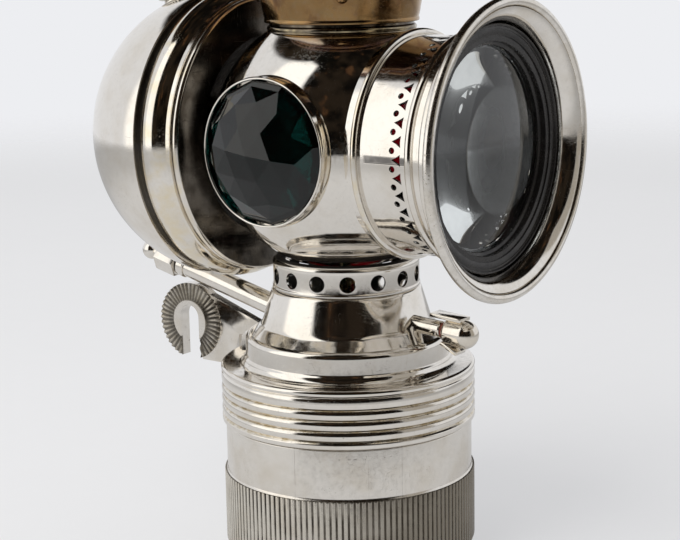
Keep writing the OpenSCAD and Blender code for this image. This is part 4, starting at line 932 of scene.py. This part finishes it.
class LAMP_OT_globe(LampPiece):
    """Turn the globe, cut its five openings and fit the two bezels"""
    bl_idname = "lamp.globe"
    bl_label = "Globe and bezels"

    def execute(self, context):
        inside, rim = GLOBE_R - GLOBE_WALL, JEWEL_R + BEZEL_WALL
        outer = arc(0, 0, GLOBE_R, -90, 90 - math.degrees(math.asin(BAND_R / GLOBE_R)), 150)
        outer[0] = (0, -GLOBE_R)
        inner = arc(0, 0, inside, 90 - math.degrees(math.asin(BAND_R / inside)), -90, 90)
        inner[-1] = (0, -inside)
        plate = nickel("globe_nickel", axis="ball", age=0.7, rough=0.045, soot_and_shade=(31.7, 31.85))
        globe = lathe("globe", outer + inner, 300, FORWARD)
        near, far = 15, 40
        jewel = round_cutter(rim - 0.05, -JEWEL_Y, near, far, 120)
        crown = round_cutter(CROWN_R, 0, near, far, 96)
        foot = round_cutter(GALLERY_R - 4, 0, near, far, 96)
        pierce(globe, FORWARD, [(jewel, 2, 0), (crown, 1, 90), (foot, 1, -90)], plate)
        round_normals(globe, HEAD)
        settle(globe, "lamp", "nickel", "head_globe")
        low = math.sqrt(GLOBE_R ** 2 - rim ** 2) - 2.2
        outline = [(rim, low), (rim, BEZEL_X - 1.5), (JEWEL_R + 0.58, BEZEL_X - 0.7)]
        outline += arc(JEWEL_R + 0.24, BEZEL_X - 0.26, 0.26, -5, 185, 9)
        outline += about(JEWEL_R, BEZEL_X, (-0.06, -0.5), (0.08, -0.6), (0.08, -2.85), (-1.4, -2.85))
        outline.append((JEWEL_R - 1.4, low))
        for side, name in ((-1, "green_bezel"), (1, "red_bezel")):
            bright = nickel(name + "_nickel", axis="jewel", age=0.5, rough=0.05, warm=(17.4, 17.8))
            turned(name, name + "_ring", outline, bright, "nickel", sideward(side), 180)
        return {"FINISHED"}


class LAMP_OT_jewels(LampPiece):
    """Finish the two faceted jewels"""
    bl_idname = "lamp.jewels"
    bl_label = "Jewels"

    def execute(self, context):
        for hue in ("green", "red"):
            colour = getattr(context.scene.lamp_finish, hue)
            dress(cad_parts[hue + "_jewel"], glass(hue + "_glass", colour, 1.48, 0.012))
        return {"FINISHED"}


class LAMP_OT_burner(LampPiece):
    """Finish the reflector and the burner in the globe"""
    bl_idname = "lamp.burner"
    bl_label = "Reflector and burner"

    def execute(self, context):
        mirror = nickel("silvered", axis="head", tint=(0.88, 0.87, 0.84), age=0.6, rough=0.08)
        refined("reflector", "mirror_dish", mirror, "silvered")
        brass = nickel("burner_brass", tint=(0.78, 0.56, 0.27), age=1.0, rough=0.2)
        for node in ("burner_pillar", "burner_fork"):
            refined(node, node + "_brass", brass, "brass")
        stone = plain("steatite", (0.84, 0.80, 0.70), (0.62, 0.56, 0.46), 0.6, 0.8, 0.0, 0.02)
        refined("burner_tips", "tips", stone, "steatite")
        return {"FINISHED"}


class LAMP_OT_band(LampPiece):
    """Turn the front band and pierce its dots and triangles"""
    bl_idname = "lamp.band"
    bl_label = "Perforated band"

    def execute(self, context):
        marks = context.scene.lamp_patterns
        count, inside, step = marks.perforations, BAND_R - BAND_WALL, SLEEVE_IN - 0.3
        low = math.sqrt(GLOBE_R ** 2 - BAND_R ** 2) - 0.6
        outer = [(BAND_R, low)] + arc(BAND_R + 0.6, BEAD_Y, BEAD_WIRE, -125, 125, 14)
        outer += [(BAND_R, BEAD_Y + BEAD_WIRE + 0.35), (BAND_R, JOINT_Y - 6)]
        outer += [(BAND_R, JOINT_Y - 0.1), (step, JOINT_Y - 0.05), (step, JOINT_Y + 1.5)]
        inner = about(SPIGOT_R, JOINT_Y, (0, 1.5), (0, -1.2)) + [(inside, JOINT_Y - 1.6), (inside, low)]
        plate = nickel("band_nickel", axis="head", age=0.7, rough=0.05, soot_and_shade=(25.5, 25.75), warm=(26.9, 27.4),
                       extra=band_marks)
        band = lathe("band", outer + inner, BAND_STEPS, FORWARD)
        dot = round_cutter(marks.dot / MM / 2, JOINT_Y - DOT_BACK, BAND_R - 3, BAND_R + 2, 18)
        tri = heart_cutter(TRI_SIDE, JOINT_Y - TRI_BACK, BAND_R - 3, BAND_R + 2)
        pierce(band, FORWARD, [(dot, count, 0), (tri, count, 180 / count)], plate)
        settle(band, "lamp", "nickel", "front_band")
        leaf = nickel("hinge_nickel", age=0.6, rough=0.08)
        refined("hinge_leaf_fixed", "fixed_leaf", leaf, "nickel", 0.12)
        steel = plain("pin_steel", (0.34, 0.33, 0.32), (0.20, 0.19, 0.18), 0.3, 1.0, 1.0, 0.01)
        refined("hinge_pin", "pin", steel, "steel", 0.1)
        return {"FINISHED"}


class LAMP_OT_bell(LampPiece):
    """Turn the flared bell with its rolled edge, and the black ring that holds the lens"""
    bl_idname = "lamp.bell"
    bl_label = "Bell and lens ring"

    def execute(self, context):
        low, top, lip = 0.2, THROAT_REACH, BELL_R - 0.3

        def off_roll(points):
            """Only the points that lie outside the rolled edge."""
            return [(r, h) for r, h in points
                    if (r - BELL_R + 0.3) ** 2 + (h - BELL_REACH) ** 2 > (RIM_WIRE + 0.1) ** 2]

        flare = [(THROAT_R + (BELL_R - THROAT_R) * (1 - math.cos(t)), top + (BELL_REACH - top) * math.sin(t))
                 for t in [math.radians(90 * i / 20) for i in range(21)]]
        outer = arc(SLEEVE_OUT, low + BELL_BEAD, BELL_BEAD, -90, 80, 14)
        step = [outer[-1], (SLEEVE_OUT, top - 1.1)] + about(THROAT_R, top, (-0.8, -0.7), (0, -0.1))
        outer += soften(step + [flare[2]], 0.45, 4)[1:-1] + flare[2:-1]
        mouth = [(r - BELL_WALL * 0.75, h + BELL_WALL * 0.75) for r, h in flare if h > top + 0.5][::-1]
        throat = about(THROAT_R, top, (-0.65, 0.5), (-0.8, 0.1)) + [(SLEEVE_IN, top - 0.3), (SLEEVE_IN, low)]
        inner = soften(off_roll(mouth) + throat, 0.3, 2)
        shape = off_roll(outer) + arc(lip, BELL_REACH, RIM_WIRE, -70, 215, 26) + inner
        shape = [(r, JOINT_Y + h) for r, h in shape]
        plate = nickel("bell_nickel", axis="head", age=0.8, rough=0.06, extra=bell_marks)
        turned("front_bell", "bell", shape, plate, "nickel", FORWARD, 300, "front")
        leaf = nickel("front_leaf_nickel", age=0.6, rough=0.08)
        refined("hinge_leaf_front", "front_leaf", leaf, "nickel", 0.1, body="front")

        seat, top, edge = JOINT_Y + SEAT_TOP, JOINT_Y + THROAT_REACH, THROAT_R - 1
        step = (LENS_R + edge) / 2 - 0.9
        ring = [(SLEEVE_IN - 0.15, seat), (SLEEVE_IN - 0.15, top - 0.2), (edge, top + 0.2), (edge, top + 1.0)]
        ring += arc(edge - 0.3, top + 1.0, 0.3, 0, 180, 8)
        ring += about(edge, top, (-0.65, 0.9), (-1.2, 0.95), (-1.25, 0.8))
        ring += about(step, top, (0.1, 0.75), (-0.02, 0.7), (0, 0.42))
        ring += about(LENS_R, top, (-0.5, 0.32), (-0.6, 0.2))
        ring += about(LENS_R, seat, (-0.6, 0.85), (-1.3, 0.62), (-1.4, 0.5), (-1.4, 0))
        black = plain("blackened_ring", (0.024, 0.021, 0.019), (0.009, 0.008, 0.0075), 0.28, 1.2, 0.3, 0.01)
        turned("lens_ring", "black_ring", ring, black, "dark_metal", FORWARD, body="front")
        return {"FINISHED"}


class LAMP_OT_lens(LampPiece):
    """Turn the thick clear lens"""
    bl_idname = "lamp.lens"
    bl_label = "Lens"

    def execute(self, context):
        def bow(edge, sag, across, rows=24):
            """Radius and height along a bow, from its crown to its edge."""
            r = (across ** 2 + sag ** 2) / (2 * sag)
            along = [edge * i / rows for i in range(rows + 1)]
            return [(x, sag - (r - math.sqrt(r * r - x ** 2))) for x in along]

        base, edge = JOINT_Y + LENS_LOW, LENS_R - 1.5
        front = [(x, base + LENS_EDGE + h) for x, h in bow(edge, LENS_FRONT, LENS_R)][::-1]
        back = [(x, base - h) for x, h in bow(BULGE_R, LENS_BACK, BULGE_R + 0.5)]
        rim = soften([(edge, base + LENS_EDGE + 0.02), (LENS_R, base + LENS_EDGE), (LENS_R, base),
                      (BULGE_R, base - 0.02)], 0.3)
        clear = glass("clear_glass", (0.93, 0.97, 0.96), bump=0.004)
        outline = back + rim[::-1] + front
        turned("lens", "lens_glass", outline, clear, "clear_glass", FORWARD, body="front", angle=20)
        return {"FINISHED"}


class LAMP_OT_chimney(LampPiece):
    """Turn the neck, the pierced cowl and the cap, and set the rivets"""
    bl_idname = "lamp.chimney"
    bl_label = "Chimney"

    def execute(self, context):
        foot = HEAD_Z + math.sqrt(GLOBE_R ** 2 - CHIMNEY_R ** 2) - 1.4
        socket, bore = COWL_FOOT_R - COWL_WALL - 0.35, CHIMNEY_R - 1.8
        neck = [(CHIMNEY_R - 1, foot), (CHIMNEY_R - 0.75, foot + 1.6), (CHIMNEY_R - 0.3, NECK_Z - 1.5)]
        neck += arc(CHIMNEY_R - 0.5, NECK_Z - 0.5, 0.8, -60, 70, 8)
        neck += [(socket, NECK_Z + 0.3), (socket, NECK_Z + 3.4), (bore, NECK_Z + 3.4), (bore, foot)]
        dark = nickel("neck_metal", tint=(0.07, 0.055, 0.04), age=0.8, rough=0.14, soot_and_shade=(16.2, 16.3),
                      warm=(18.0, 18.15))
        turned("chimney_neck", "neck", neck, dark, "dark_metal")

        slope, near, far = (COWL_TOP_R - COWL_FOOT_R) / (COWL_TOP - COWL_Z), COWL_FOOT_R - 4, COWL_TOP_R + 3
        outer = about(COWL_FOOT_R, COWL_Z, (-0.1, 0), (0.22, 0.1), (0.24, 0.65), (0.08, 0.95))
        outer += [(COWL_FOOT_R + slope * h, COWL_Z + h) for h in (2, 5, 8, 11, 14, 15.4)]
        outer += arc(COWL_TOP_R - 0.1, COWL_TOP - 0.8, 0.7, -80, 90, 8)
        inner = about(COWL_TOP_R - COWL_WALL, COWL_TOP, (0, -0.2), (0, -1.5))
        inner.append((COWL_FOOT_R - COWL_WALL, COWL_Z))
        hot = heated_brass("heated_brass", COWL_Z, CAP_Z + CAP_H)
        cowl = lathe("cowl", soften(outer, 0.1, 2) + inner, 240)
        vent = round_cutter(VENT_R, COWL_TOP - VENT_DOWN, near, far, 24)
        hole = round_cutter(RIVET_R, COWL_Z + RIVET_UP, near, far, 12)
        pierce(cowl, UPRIGHT, [(vent, context.scene.lamp_patterns.vents, 0), (hole, RIVETS, RIVET_TURN)], hot)
        settle(cowl, "lamp", "heated_brass", "chimney_cowl")

        crown, ball = CAP_Z + CAP_H, (CAP_R ** 2 + CAP_H ** 2) / (2 * CAP_H)
        rim_turn = math.degrees(math.asin((CAP_R - 0.8) / ball))
        knob = about(0, crown, (2.6, 0.02), (2.3, 0.55), (1.7, 0.9), (0, 0.98))
        roll = arc(CAP_R - 0.5, CAP_Z + 0.3, 0.8, -200, 60, 16)
        under = arc(0, crown - ball, ball - COWL_WALL, 90, 91 - rim_turn, 20)
        under[0] = (0, under[0][1])
        cap = under + roll + arc(0, crown - ball, ball, 90 - rim_turn, 83, 24)[1:] + knob
        turned("chimney_cap", "cap", cap, hot, "heated_brass", steps=220)
        refined("cap_legs", "legs", hot, "heated_brass", 0.1)

        head = [(0, -1.1), (0.6, -1.1), (0.6, 0.02), (1.42, 0.04)] + arc(0, -0.35, 1.48, 17, 90, 6)
        head[-1] = (0, 1.12)
        rivet = lathe("rivets", head, 20, angle=60)
        out = Matrix.Translation((COWL_FOOT_R + slope * RIVET_UP, 0, COWL_Z + RIVET_UP))
        rivet.data.transform(out @ Matrix.Rotation(math.radians(90), 4, "Y") @ Matrix.Scale(1000, 4))
        run_tree(rivet, "ring", RIVETS, RIVET_TURN, hot)
        rivet.data.transform(TO_METRES)
        shade(rivet.data, 60)
        settle(rivet, "lamp", "heated_brass", "cowl_rivets")
        return {"FINISHED"}


class LAMP_OT_tank(LampPiece):
    """Turn the two halves of the water tank, and the pad that joins it to the globe"""
    bl_idname = "lamp.tank"
    bl_label = "Water tank"

    def execute(self, context):
        seam, inside, groove = SEAM_EDGE, TANK_R - TANK_WALL, GROOVE_R
        cut = math.degrees(math.acos(SEAM_R / TANK_R))
        outer = arc(0, TANK_Y, TANK_R, cut, 90, 90)
        outer[-1] = (0, TANK_Y + TANK_R)
        inner = arc(0, TANK_Y, inside, 90, cut, 60)
        inner[0] = (0, TANK_Y + inside)
        plate = nickel("tank_rear_nickel", axis="tankball", age=0.7, rough=0.05)
        shell = outer + [q for q in inner if q[1] > seam + 0.75] + [(groove, seam + 0.7), (groove, seam)]
        rear = lathe("tank_back", shell, 300, REARWARD)
        mouth = round_cutter(FILLER_BORE + 0.9, 0, 25, 45, 40)
        pierce(rear, FILLER @ Matrix.Rotation(math.radians(-90), 4, "Y"), [(mouth, 1, 0)], plate)
        round_normals(rear, TANK)
        settle(rear, "lamp", "nickel", "tank_rear")

        shoulder, valley = groove + SEAM_DEPTH - 1, TANK_FRONT_R - TANK_BEAD
        band_y, run = seam - TANK_BAND, TANK_BAND - 1.7 - 2 * TANK_BEAD
        outline = [(groove, SEAM_Y + 2.4), (groove, SEAM_Y - 0.5), (shoulder - 0.35, SEAM_Y - 0.62)]
        for t in [i / 18 for i in range(19)]:
            r = shoulder + (valley - shoulder) * t * t + CROWNING * math.sin(math.pi * t)
            outline.append((r, SEAM_Y - 0.9 - run * t))
        outline += arc(valley, band_y + TANK_BEAD, TANK_BEAD, 70, -90, 14)
        reach = math.sqrt(DISH_R ** 2 - band_y ** 2)
        dish = [(x, math.sqrt(DISH_R ** 2 - x * x)) for x in np.linspace(reach, 0, 40)]
        wall = [(x, math.sqrt((DISH_R + TANK_WALL) ** 2 - x * x)) for x in np.linspace(0, reach, 24)]
        back = [(groove - TANK_WALL, band_y + 2.0), (groove - TANK_WALL, SEAM_Y + 2.4)]
        dull = nickel("tank_front_nickel", axis="tank", age=0.7, rough=0.06, warm=(34.1, 34.7),
                      extra=tank_tarnish_and_shade)
        outline = soften(outline, 0.15, 2) + dish + wall + back
        turned("tank_front", "tank_front_shell", outline, dull, "nickel", REARWARD, 300)
        refined("tank_pad", "pad", nickel("pad_nickel", axis="head", age=0.6, rough=0.1), "nickel")
        return {"FINISHED"}


class LAMP_OT_filler(LampPiece):
    """Turn the filler's neck, its washer and its fluted cap"""
    bl_idname = "lamp.filler"
    bl_label = "Filler"

    def execute(self, context):
        plate = nickel("filler_nickel", age=0.8, rough=0.08)
        top, ceiling = TANK_R + FILLER_H, TANK_R + FILLER_H + 1.5
        neck = about(FILLER_BORE, TANK_R, (0, -0.9), (1.6, -0.55), (1.6, 0.35), (1.1, 0.8), (0.85, 1.0))
        for i in range(5):
            neck += about(FILLER_BORE, TANK_R + 2.0 + i * 0.95, (0.55, 0), (0.88, 0.45))
        neck += [(FILLER_BORE + 0.8, top), (FILLER_BORE, top)]
        turned("filler_neck", "filler_throat", neck, plate, "nickel", FILLER, 90)
        refined("filler_washer", "seal", old_rubber("washer_rubber", 0.6), "rubber", body="filler_seal")

        low, r, bore = ceiling + 1 - FILLER_CAP_H, FILLER_CAP_R - 0.25, FILLER_BORE + 1.15
        outer = about(r, low, (-0.3, 0), (0, 0.3), (0, 0.8), (-0.15, 1.0), (-0.15, 4.4), (0, 4.7), (-0.1, 5.2),
                      (-1.2, 5.85), (-r, 6.0))
        outline = soften(outer, 0.2, 2) + [(0, ceiling), (bore, ceiling), (bore, low)]
        cap = dress(lathe("filler_lid_cap", outline, 120, FILLER), plate)
        section = [(x * 0.32, 0.40 - 0.34 * x * x) for x in (-1, -0.5, 0, 0.5, 1)]
        rows = [(low + 1.0, 0.0), (low + 1.25, 1.0), (low + 4.15, 1.0), (low + 4.4, 0.0)]
        verts = [(r - 0.16 + h * k, x, z) for z, k in rows for x, h in section]
        flutes = context.scene.lamp_patterns.flutes
        ring = raised_ring("flutes", verts, len(section), flutes, plate, FILLER)
        settle(join("filler_cap_fluted", [cap, ring]), "filler_lid", "nickel", "filler_cap")
        return {"FINISHED"}


class LAMP_OT_feed(LampPiece):
    """Turn the water tube, the valve body, the gland nut, the spindle and the knob"""
    bl_idname = "lamp.feed"
    bl_label = "Water feed"

    def execute(self, context):
        plate = nickel("tube_nickel", age=0.8, rough=0.08)
        end, body_end = FEED_LEN, FEED_LEN + VALVE_LEN
        tube = [(FEED_BORE, 0), (FEED_R, 0), (FEED_R, end - 0.1), (FEED_R - 0.1, end), (FEED_BORE, end)]
        turned("water_tube", "tube", tube, plate, "nickel", FEED, 80)
        refined("tank_outlet", "outlet", plate, "nickel")
        hole, collar, collar_end = SPINDLE_R + 0.05, GLAND_AF / 2 - 1, body_end + GLAND_LEN - 1.6
        body = [(hole, end), (VALVE_R - 0.5, end), (VALVE_R, end + 0.4), (VALVE_R, body_end - 0.5),
                (VALVE_R - 0.5, body_end), (collar, body_end), (collar, collar_end), (hole, collar_end)]
        turned("valve_body", "valve", soften(body, 0.15, 2), plate, "nickel", FEED, 80)
        refined("gland_nut", "nut", nickel("nut_nickel", age=0.9, rough=0.1), "nickel", 0.25)
        brass = nickel("valve_brass", tint=(0.78, 0.57, 0.27), age=0.8, rough=0.15)
        for node, name, rides in (("valve_seat", "seat", "lamp"), ("valve_needle", "needle", "needle"),
                                  ("valve_spindle", "spindle", "valve_screw")):
            refined(node, name, brass, "brass", body=rides)
        start = body_end + 0.25 + GLAND_LEN + SPINDLE_SHOW
        knob = about(SPINDLE_R, start, (0, -0.8), (0.7, -0.75), (0.6, 0))
        knob += arc(0, start + THUMB_R * 0.9, THUMB_R, -50, 90, 24)
        knob[-1] = (0, start + THUMB_R * 1.9)
        knob += [(0, start), (SPINDLE_R, start)]
        turned("valve_knob", "knob", knob, plate, "nickel", FEED, 80, "valve_screw")
        return {"FINISHED"}


class LAMP_OT_bracket(LampPiece):
    """Finish the slotted bracket with its serrated boss, and set its rivets"""
    bl_idname = "lamp.bracket"
    bl_label = "Bracket"

    def execute(self, context):
        plate = nickel("bracket_nickel", axis="boss", age=0.9, rough=0.14, extra=boss_marks)
        refined("bracket", "slotted_bracket", plate, "nickel", angle=25)
        refined("bracket_rivets", "foot_rivets", nickel("rivet_nickel", age=0.8, rough=0.1), "nickel")
        return {"FINISHED"}


class LAMP_OT_relief(LampPiece):
    """Finish the relief nipple, its washer and its eared screw"""
    bl_idname = "lamp.relief"
    bl_label = "Relief screw"

    def execute(self, context):
        plate = nickel("relief_nickel", age=0.8, rough=0.07, tint=(0.80, 0.75, 0.67))
        tube = [(RELIEF_BORE, 0), (RELIEF_R, 0), (RELIEF_R, 1.2), (RELIEF_R, RELIEF_LEN - 0.3),
                (RELIEF_R - 0.2, RELIEF_LEN), (RELIEF_BORE, RELIEF_LEN)]
        turned("relief_nipple", "nipple", soften(tube, 0.1, 2), plate, "nickel", RELIEF, 64)
        rubber = old_rubber("relief_rubber", 0.5)
        refined("relief_washer", "relief_seal_ring", rubber, "rubber", body="relief_seal")
        refined("relief_screw", "eared_screw", plate, "nickel", 0.22, body="relief")
        return {"FINISHED"}


# The stage

def make_table(studio):
    """A pale round table that fades out into the background."""
    bm = bmesh.new()
    bmesh.ops.create_circle(bm, cap_ends=True, segments=96, radius=2.2)
    mesh = take_mesh(bm, "table")
    mesh.transform(Matrix.Translation((0, 0, -0.00005)))
    table = new_object("table", mesh)
    material, pen, shader, p = start_material("table_top")
    rays = pen.put("ShaderNodeLightPath").outputs
    seen = pen.plus(pen.plus(rays["Is Camera Ray"], rays["Is Glossy Ray"]), rays["Is Transmission Ray"], True)
    cloth = pen.group("grain", Position=p, Light=rgba(studio.floor), Dark=rgba(studio.floor, 0.985), Size=40.0,
                      Roughness=0.8)
    pen.fill(shader, {"Base Color": cloth.outputs["Color"], "Roughness": 0.9, "Specular IOR Level": 0.1})
    distance = pen.length(p)
    mirrored = pen.add_part(rays["Is Glossy Ray"], pen.ramp(distance, 180.0, 420.0, -0.3, -0.75), 1.0)
    glow = pen.put("ShaderNodeEmission", {"Color": rgba(studio.sky), "Strength": mirrored})
    near = pen.put("ShaderNodeMixShader", {0: pen.times(seen, 0.5), 1: shader.outputs[0], 2: glow.outputs[0]})
    clear = pen.put("ShaderNodeBsdfTransparent")
    whole = pen.put("ShaderNodeMixShader", {0: pen.ramp(distance, 650.0, 1150.0), 1: near.outputs[0],
                                            2: clear.outputs[0]})
    output = next(n for n in pen.tree.nodes if n.type == "OUTPUT_MATERIAL")
    pen.fill(output, {"Surface": whole.outputs[0]})
    dress(table, material)


def make_room(studio):
    """A plain background, and a dark room with two light panels that only the lamp mirrors."""
    world = bpy.data.worlds.new("room")
    bpy.context.scene.world = world
    world.use_nodes = True
    world.node_tree.nodes.clear()
    pen, rad = Pen(world.node_tree), math.radians
    rays = pen.put("ShaderNodeLightPath").outputs
    way = pen.put("ShaderNodeTexCoord").outputs["Generated"]
    # turn: angle round from the camera, to its right; rise: angle above the table
    to_camera, to_right = pen.dot(way, (-0.803, -0.596, 0)), pen.dot(way, (0.596, -0.803, 0))
    turn = pen.calc("ARCTAN2", to_right, to_camera)
    flat = pen.calc("SQRT", pen.plus(pen.times(to_camera, to_camera), pen.times(to_right, to_right)))
    rise = pen.calc("ARCTAN2", pen.split(way)[2], flat)

    shapes = pen.patches(pen.stretched(way, (1.0, 1.0, 1.6)), 2.6, 3, 0.42, 0.62, 0.6)
    room = pen.tone(shapes, (0.004, 0.0035, 0.003), (0.022, 0.016, 0.011))
    streak = pen.patches(pen.stretched(way, (1.0, 1.0, 0.22)), 5.5, 2, 0.60, 0.70)
    room = pen.stain(room, pen.times(streak, pen.ramp(rise, rad(2), rad(20))), 0.75, (0.10, 0.05, 0.024))

    top_left = pen.ramp(turn, rad(-165), rad(-70), rad(28), rad(66), smooth=False)
    top_right = pen.ramp(pen.calc("ABSOLUTE", turn), rad(60), rad(165), rad(46), rad(16), smooth=False)
    left = pen.times(pen.fade(turn, rad(-54), rad(-47)), pen.fade(pen.less(rise, top_left), rad(-1), rad(3)))
    right = pen.times(pen.ramp(turn, rad(47), rad(51)), pen.fade(pen.less(rise, top_right), rad(-1), rad(3)))
    light = pen.tone(pen.most(left, right), room, studio.sky)
    for panel, low, high, tint in ((left, -100, -92, (1, 0.985, 0.955)), (right, 84, 78, (0.30, 0.28, 0.25))):
        near = pen.times(panel, pen.ramp(turn, rad(low), rad(high)))
        light = pen.tone(near, light, rgba(tint, studio.panels))
    view = pen.plus(rays["Is Camera Ray"], rays["Is Transmission Ray"], True)
    colour = pen.tone(view, light, studio.sky)
    colour = pen.tone(rays["Is Diffuse Ray"], colour, rgba(studio.sky, 0.72))
    ground = pen.put("ShaderNodeBackground", {"Color": colour, "Strength": 1.0})
    pen.put("ShaderNodeOutputWorld", {"Surface": ground.outputs[0]})


def make_key_light():
    """A soft square light, high on the left, that the plate does not mirror."""
    key = bpy.data.lights.new("key", "AREA")
    key.shape, key.size, key.size_y, key.energy = "RECTANGLE", 0.9, 0.9, 9.0
    lamp = new_object("key", key)
    lamp.location = (-0.75, 0.15, 1.0)
    lamp.rotation_euler = (Vector((0, 0, 0.1)) - Vector(lamp.location)).to_track_quat("-Z", "Y").to_euler()
    lamp.visible_glossy = False


def make_camera():
    """The photograph's own view."""
    right = Vector((0.59573, -0.80298, -0.01838))
    up = Vector((0.17067, 0.10419, 0.97980))
    behind = Vector((-0.78485, -0.58683, 0.19911))
    camera = bpy.data.cameras.new("camera")
    camera.lens, camera.sensor_width, camera.sensor_fit = 88.8, 36.0, "HORIZONTAL"
    camera.clip_start, camera.clip_end = 0.01, 20.0
    eye = new_object("camera", camera)
    basis = Matrix((right, up, behind)).transposed().to_4x4()
    eye.matrix_world = Matrix.Translation((-0.32923, -0.24422, 0.15688)) @ basis
    bpy.context.scene.camera = eye


class LAMP_OT_stage(LampPiece):
    """Set the table, the room that the plate reflects, the light and the camera"""
    bl_idname = "lamp.stage"
    bl_label = "Stage"

    def execute(self, context):
        context.scene.view_settings.view_transform = "Standard"
        make_table(context.scene.lamp_studio)
        make_room(context.scene.lamp_studio)
        make_key_light()
        make_camera()
        return {"FINISHED"}


# The add-on

SETTINGS = {"lamp_finish": LampFinish, "lamp_patterns": LampPatterns, "lamp_studio": LampStudio}
PIECES = (LAMP_OT_container, LAMP_OT_generator, LAMP_OT_gallery, LAMP_OT_globe, LAMP_OT_jewels, LAMP_OT_burner,
          LAMP_OT_band, LAMP_OT_bell, LAMP_OT_lens, LAMP_OT_chimney, LAMP_OT_tank, LAMP_OT_filler, LAMP_OT_feed,
          LAMP_OT_bracket, LAMP_OT_relief, LAMP_OT_stage)


class LAMP_PT_panel(bpy.types.Panel):
    """Lists the lamp's settings and pieces"""
    bl_idname = "LAMP_PT_panel"
    bl_label = "Carbide lamp"
    bl_space_type = "VIEW_3D"
    bl_region_type = "UI"
    bl_category = "Lamp"

    def draw(self, context):
        for name, group in SETTINGS.items():
            box = self.layout.box()
            for key in group.__annotations__:
                box.prop(getattr(context.scene, name), key)
        for piece in PIECES:
            self.layout.operator(piece.bl_idname)


CLASSES = (*SETTINGS.values(), *PIECES, LAMP_PT_panel)


def register():
    """Make the settings, the operators and the panel known."""
    for c in CLASSES:
        bpy.utils.register_class(c)
    for name, group in SETTINGS.items():
        setattr(bpy.types.Scene, name, bpy.props.PointerProperty(type=group))


def unregister():
    """Take everything away again."""
    for name in SETTINGS:
        delattr(bpy.types.Scene, name)
    for c in reversed(CLASSES):
        bpy.utils.unregister_class(c)


def main():
    """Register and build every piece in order."""
    register()
    make_trees()
    for piece in PIECES:
        group, name = piece.bl_idname.split(".")
        getattr(getattr(bpy.ops, group), name)()


if __name__ == "__main__":
    main()
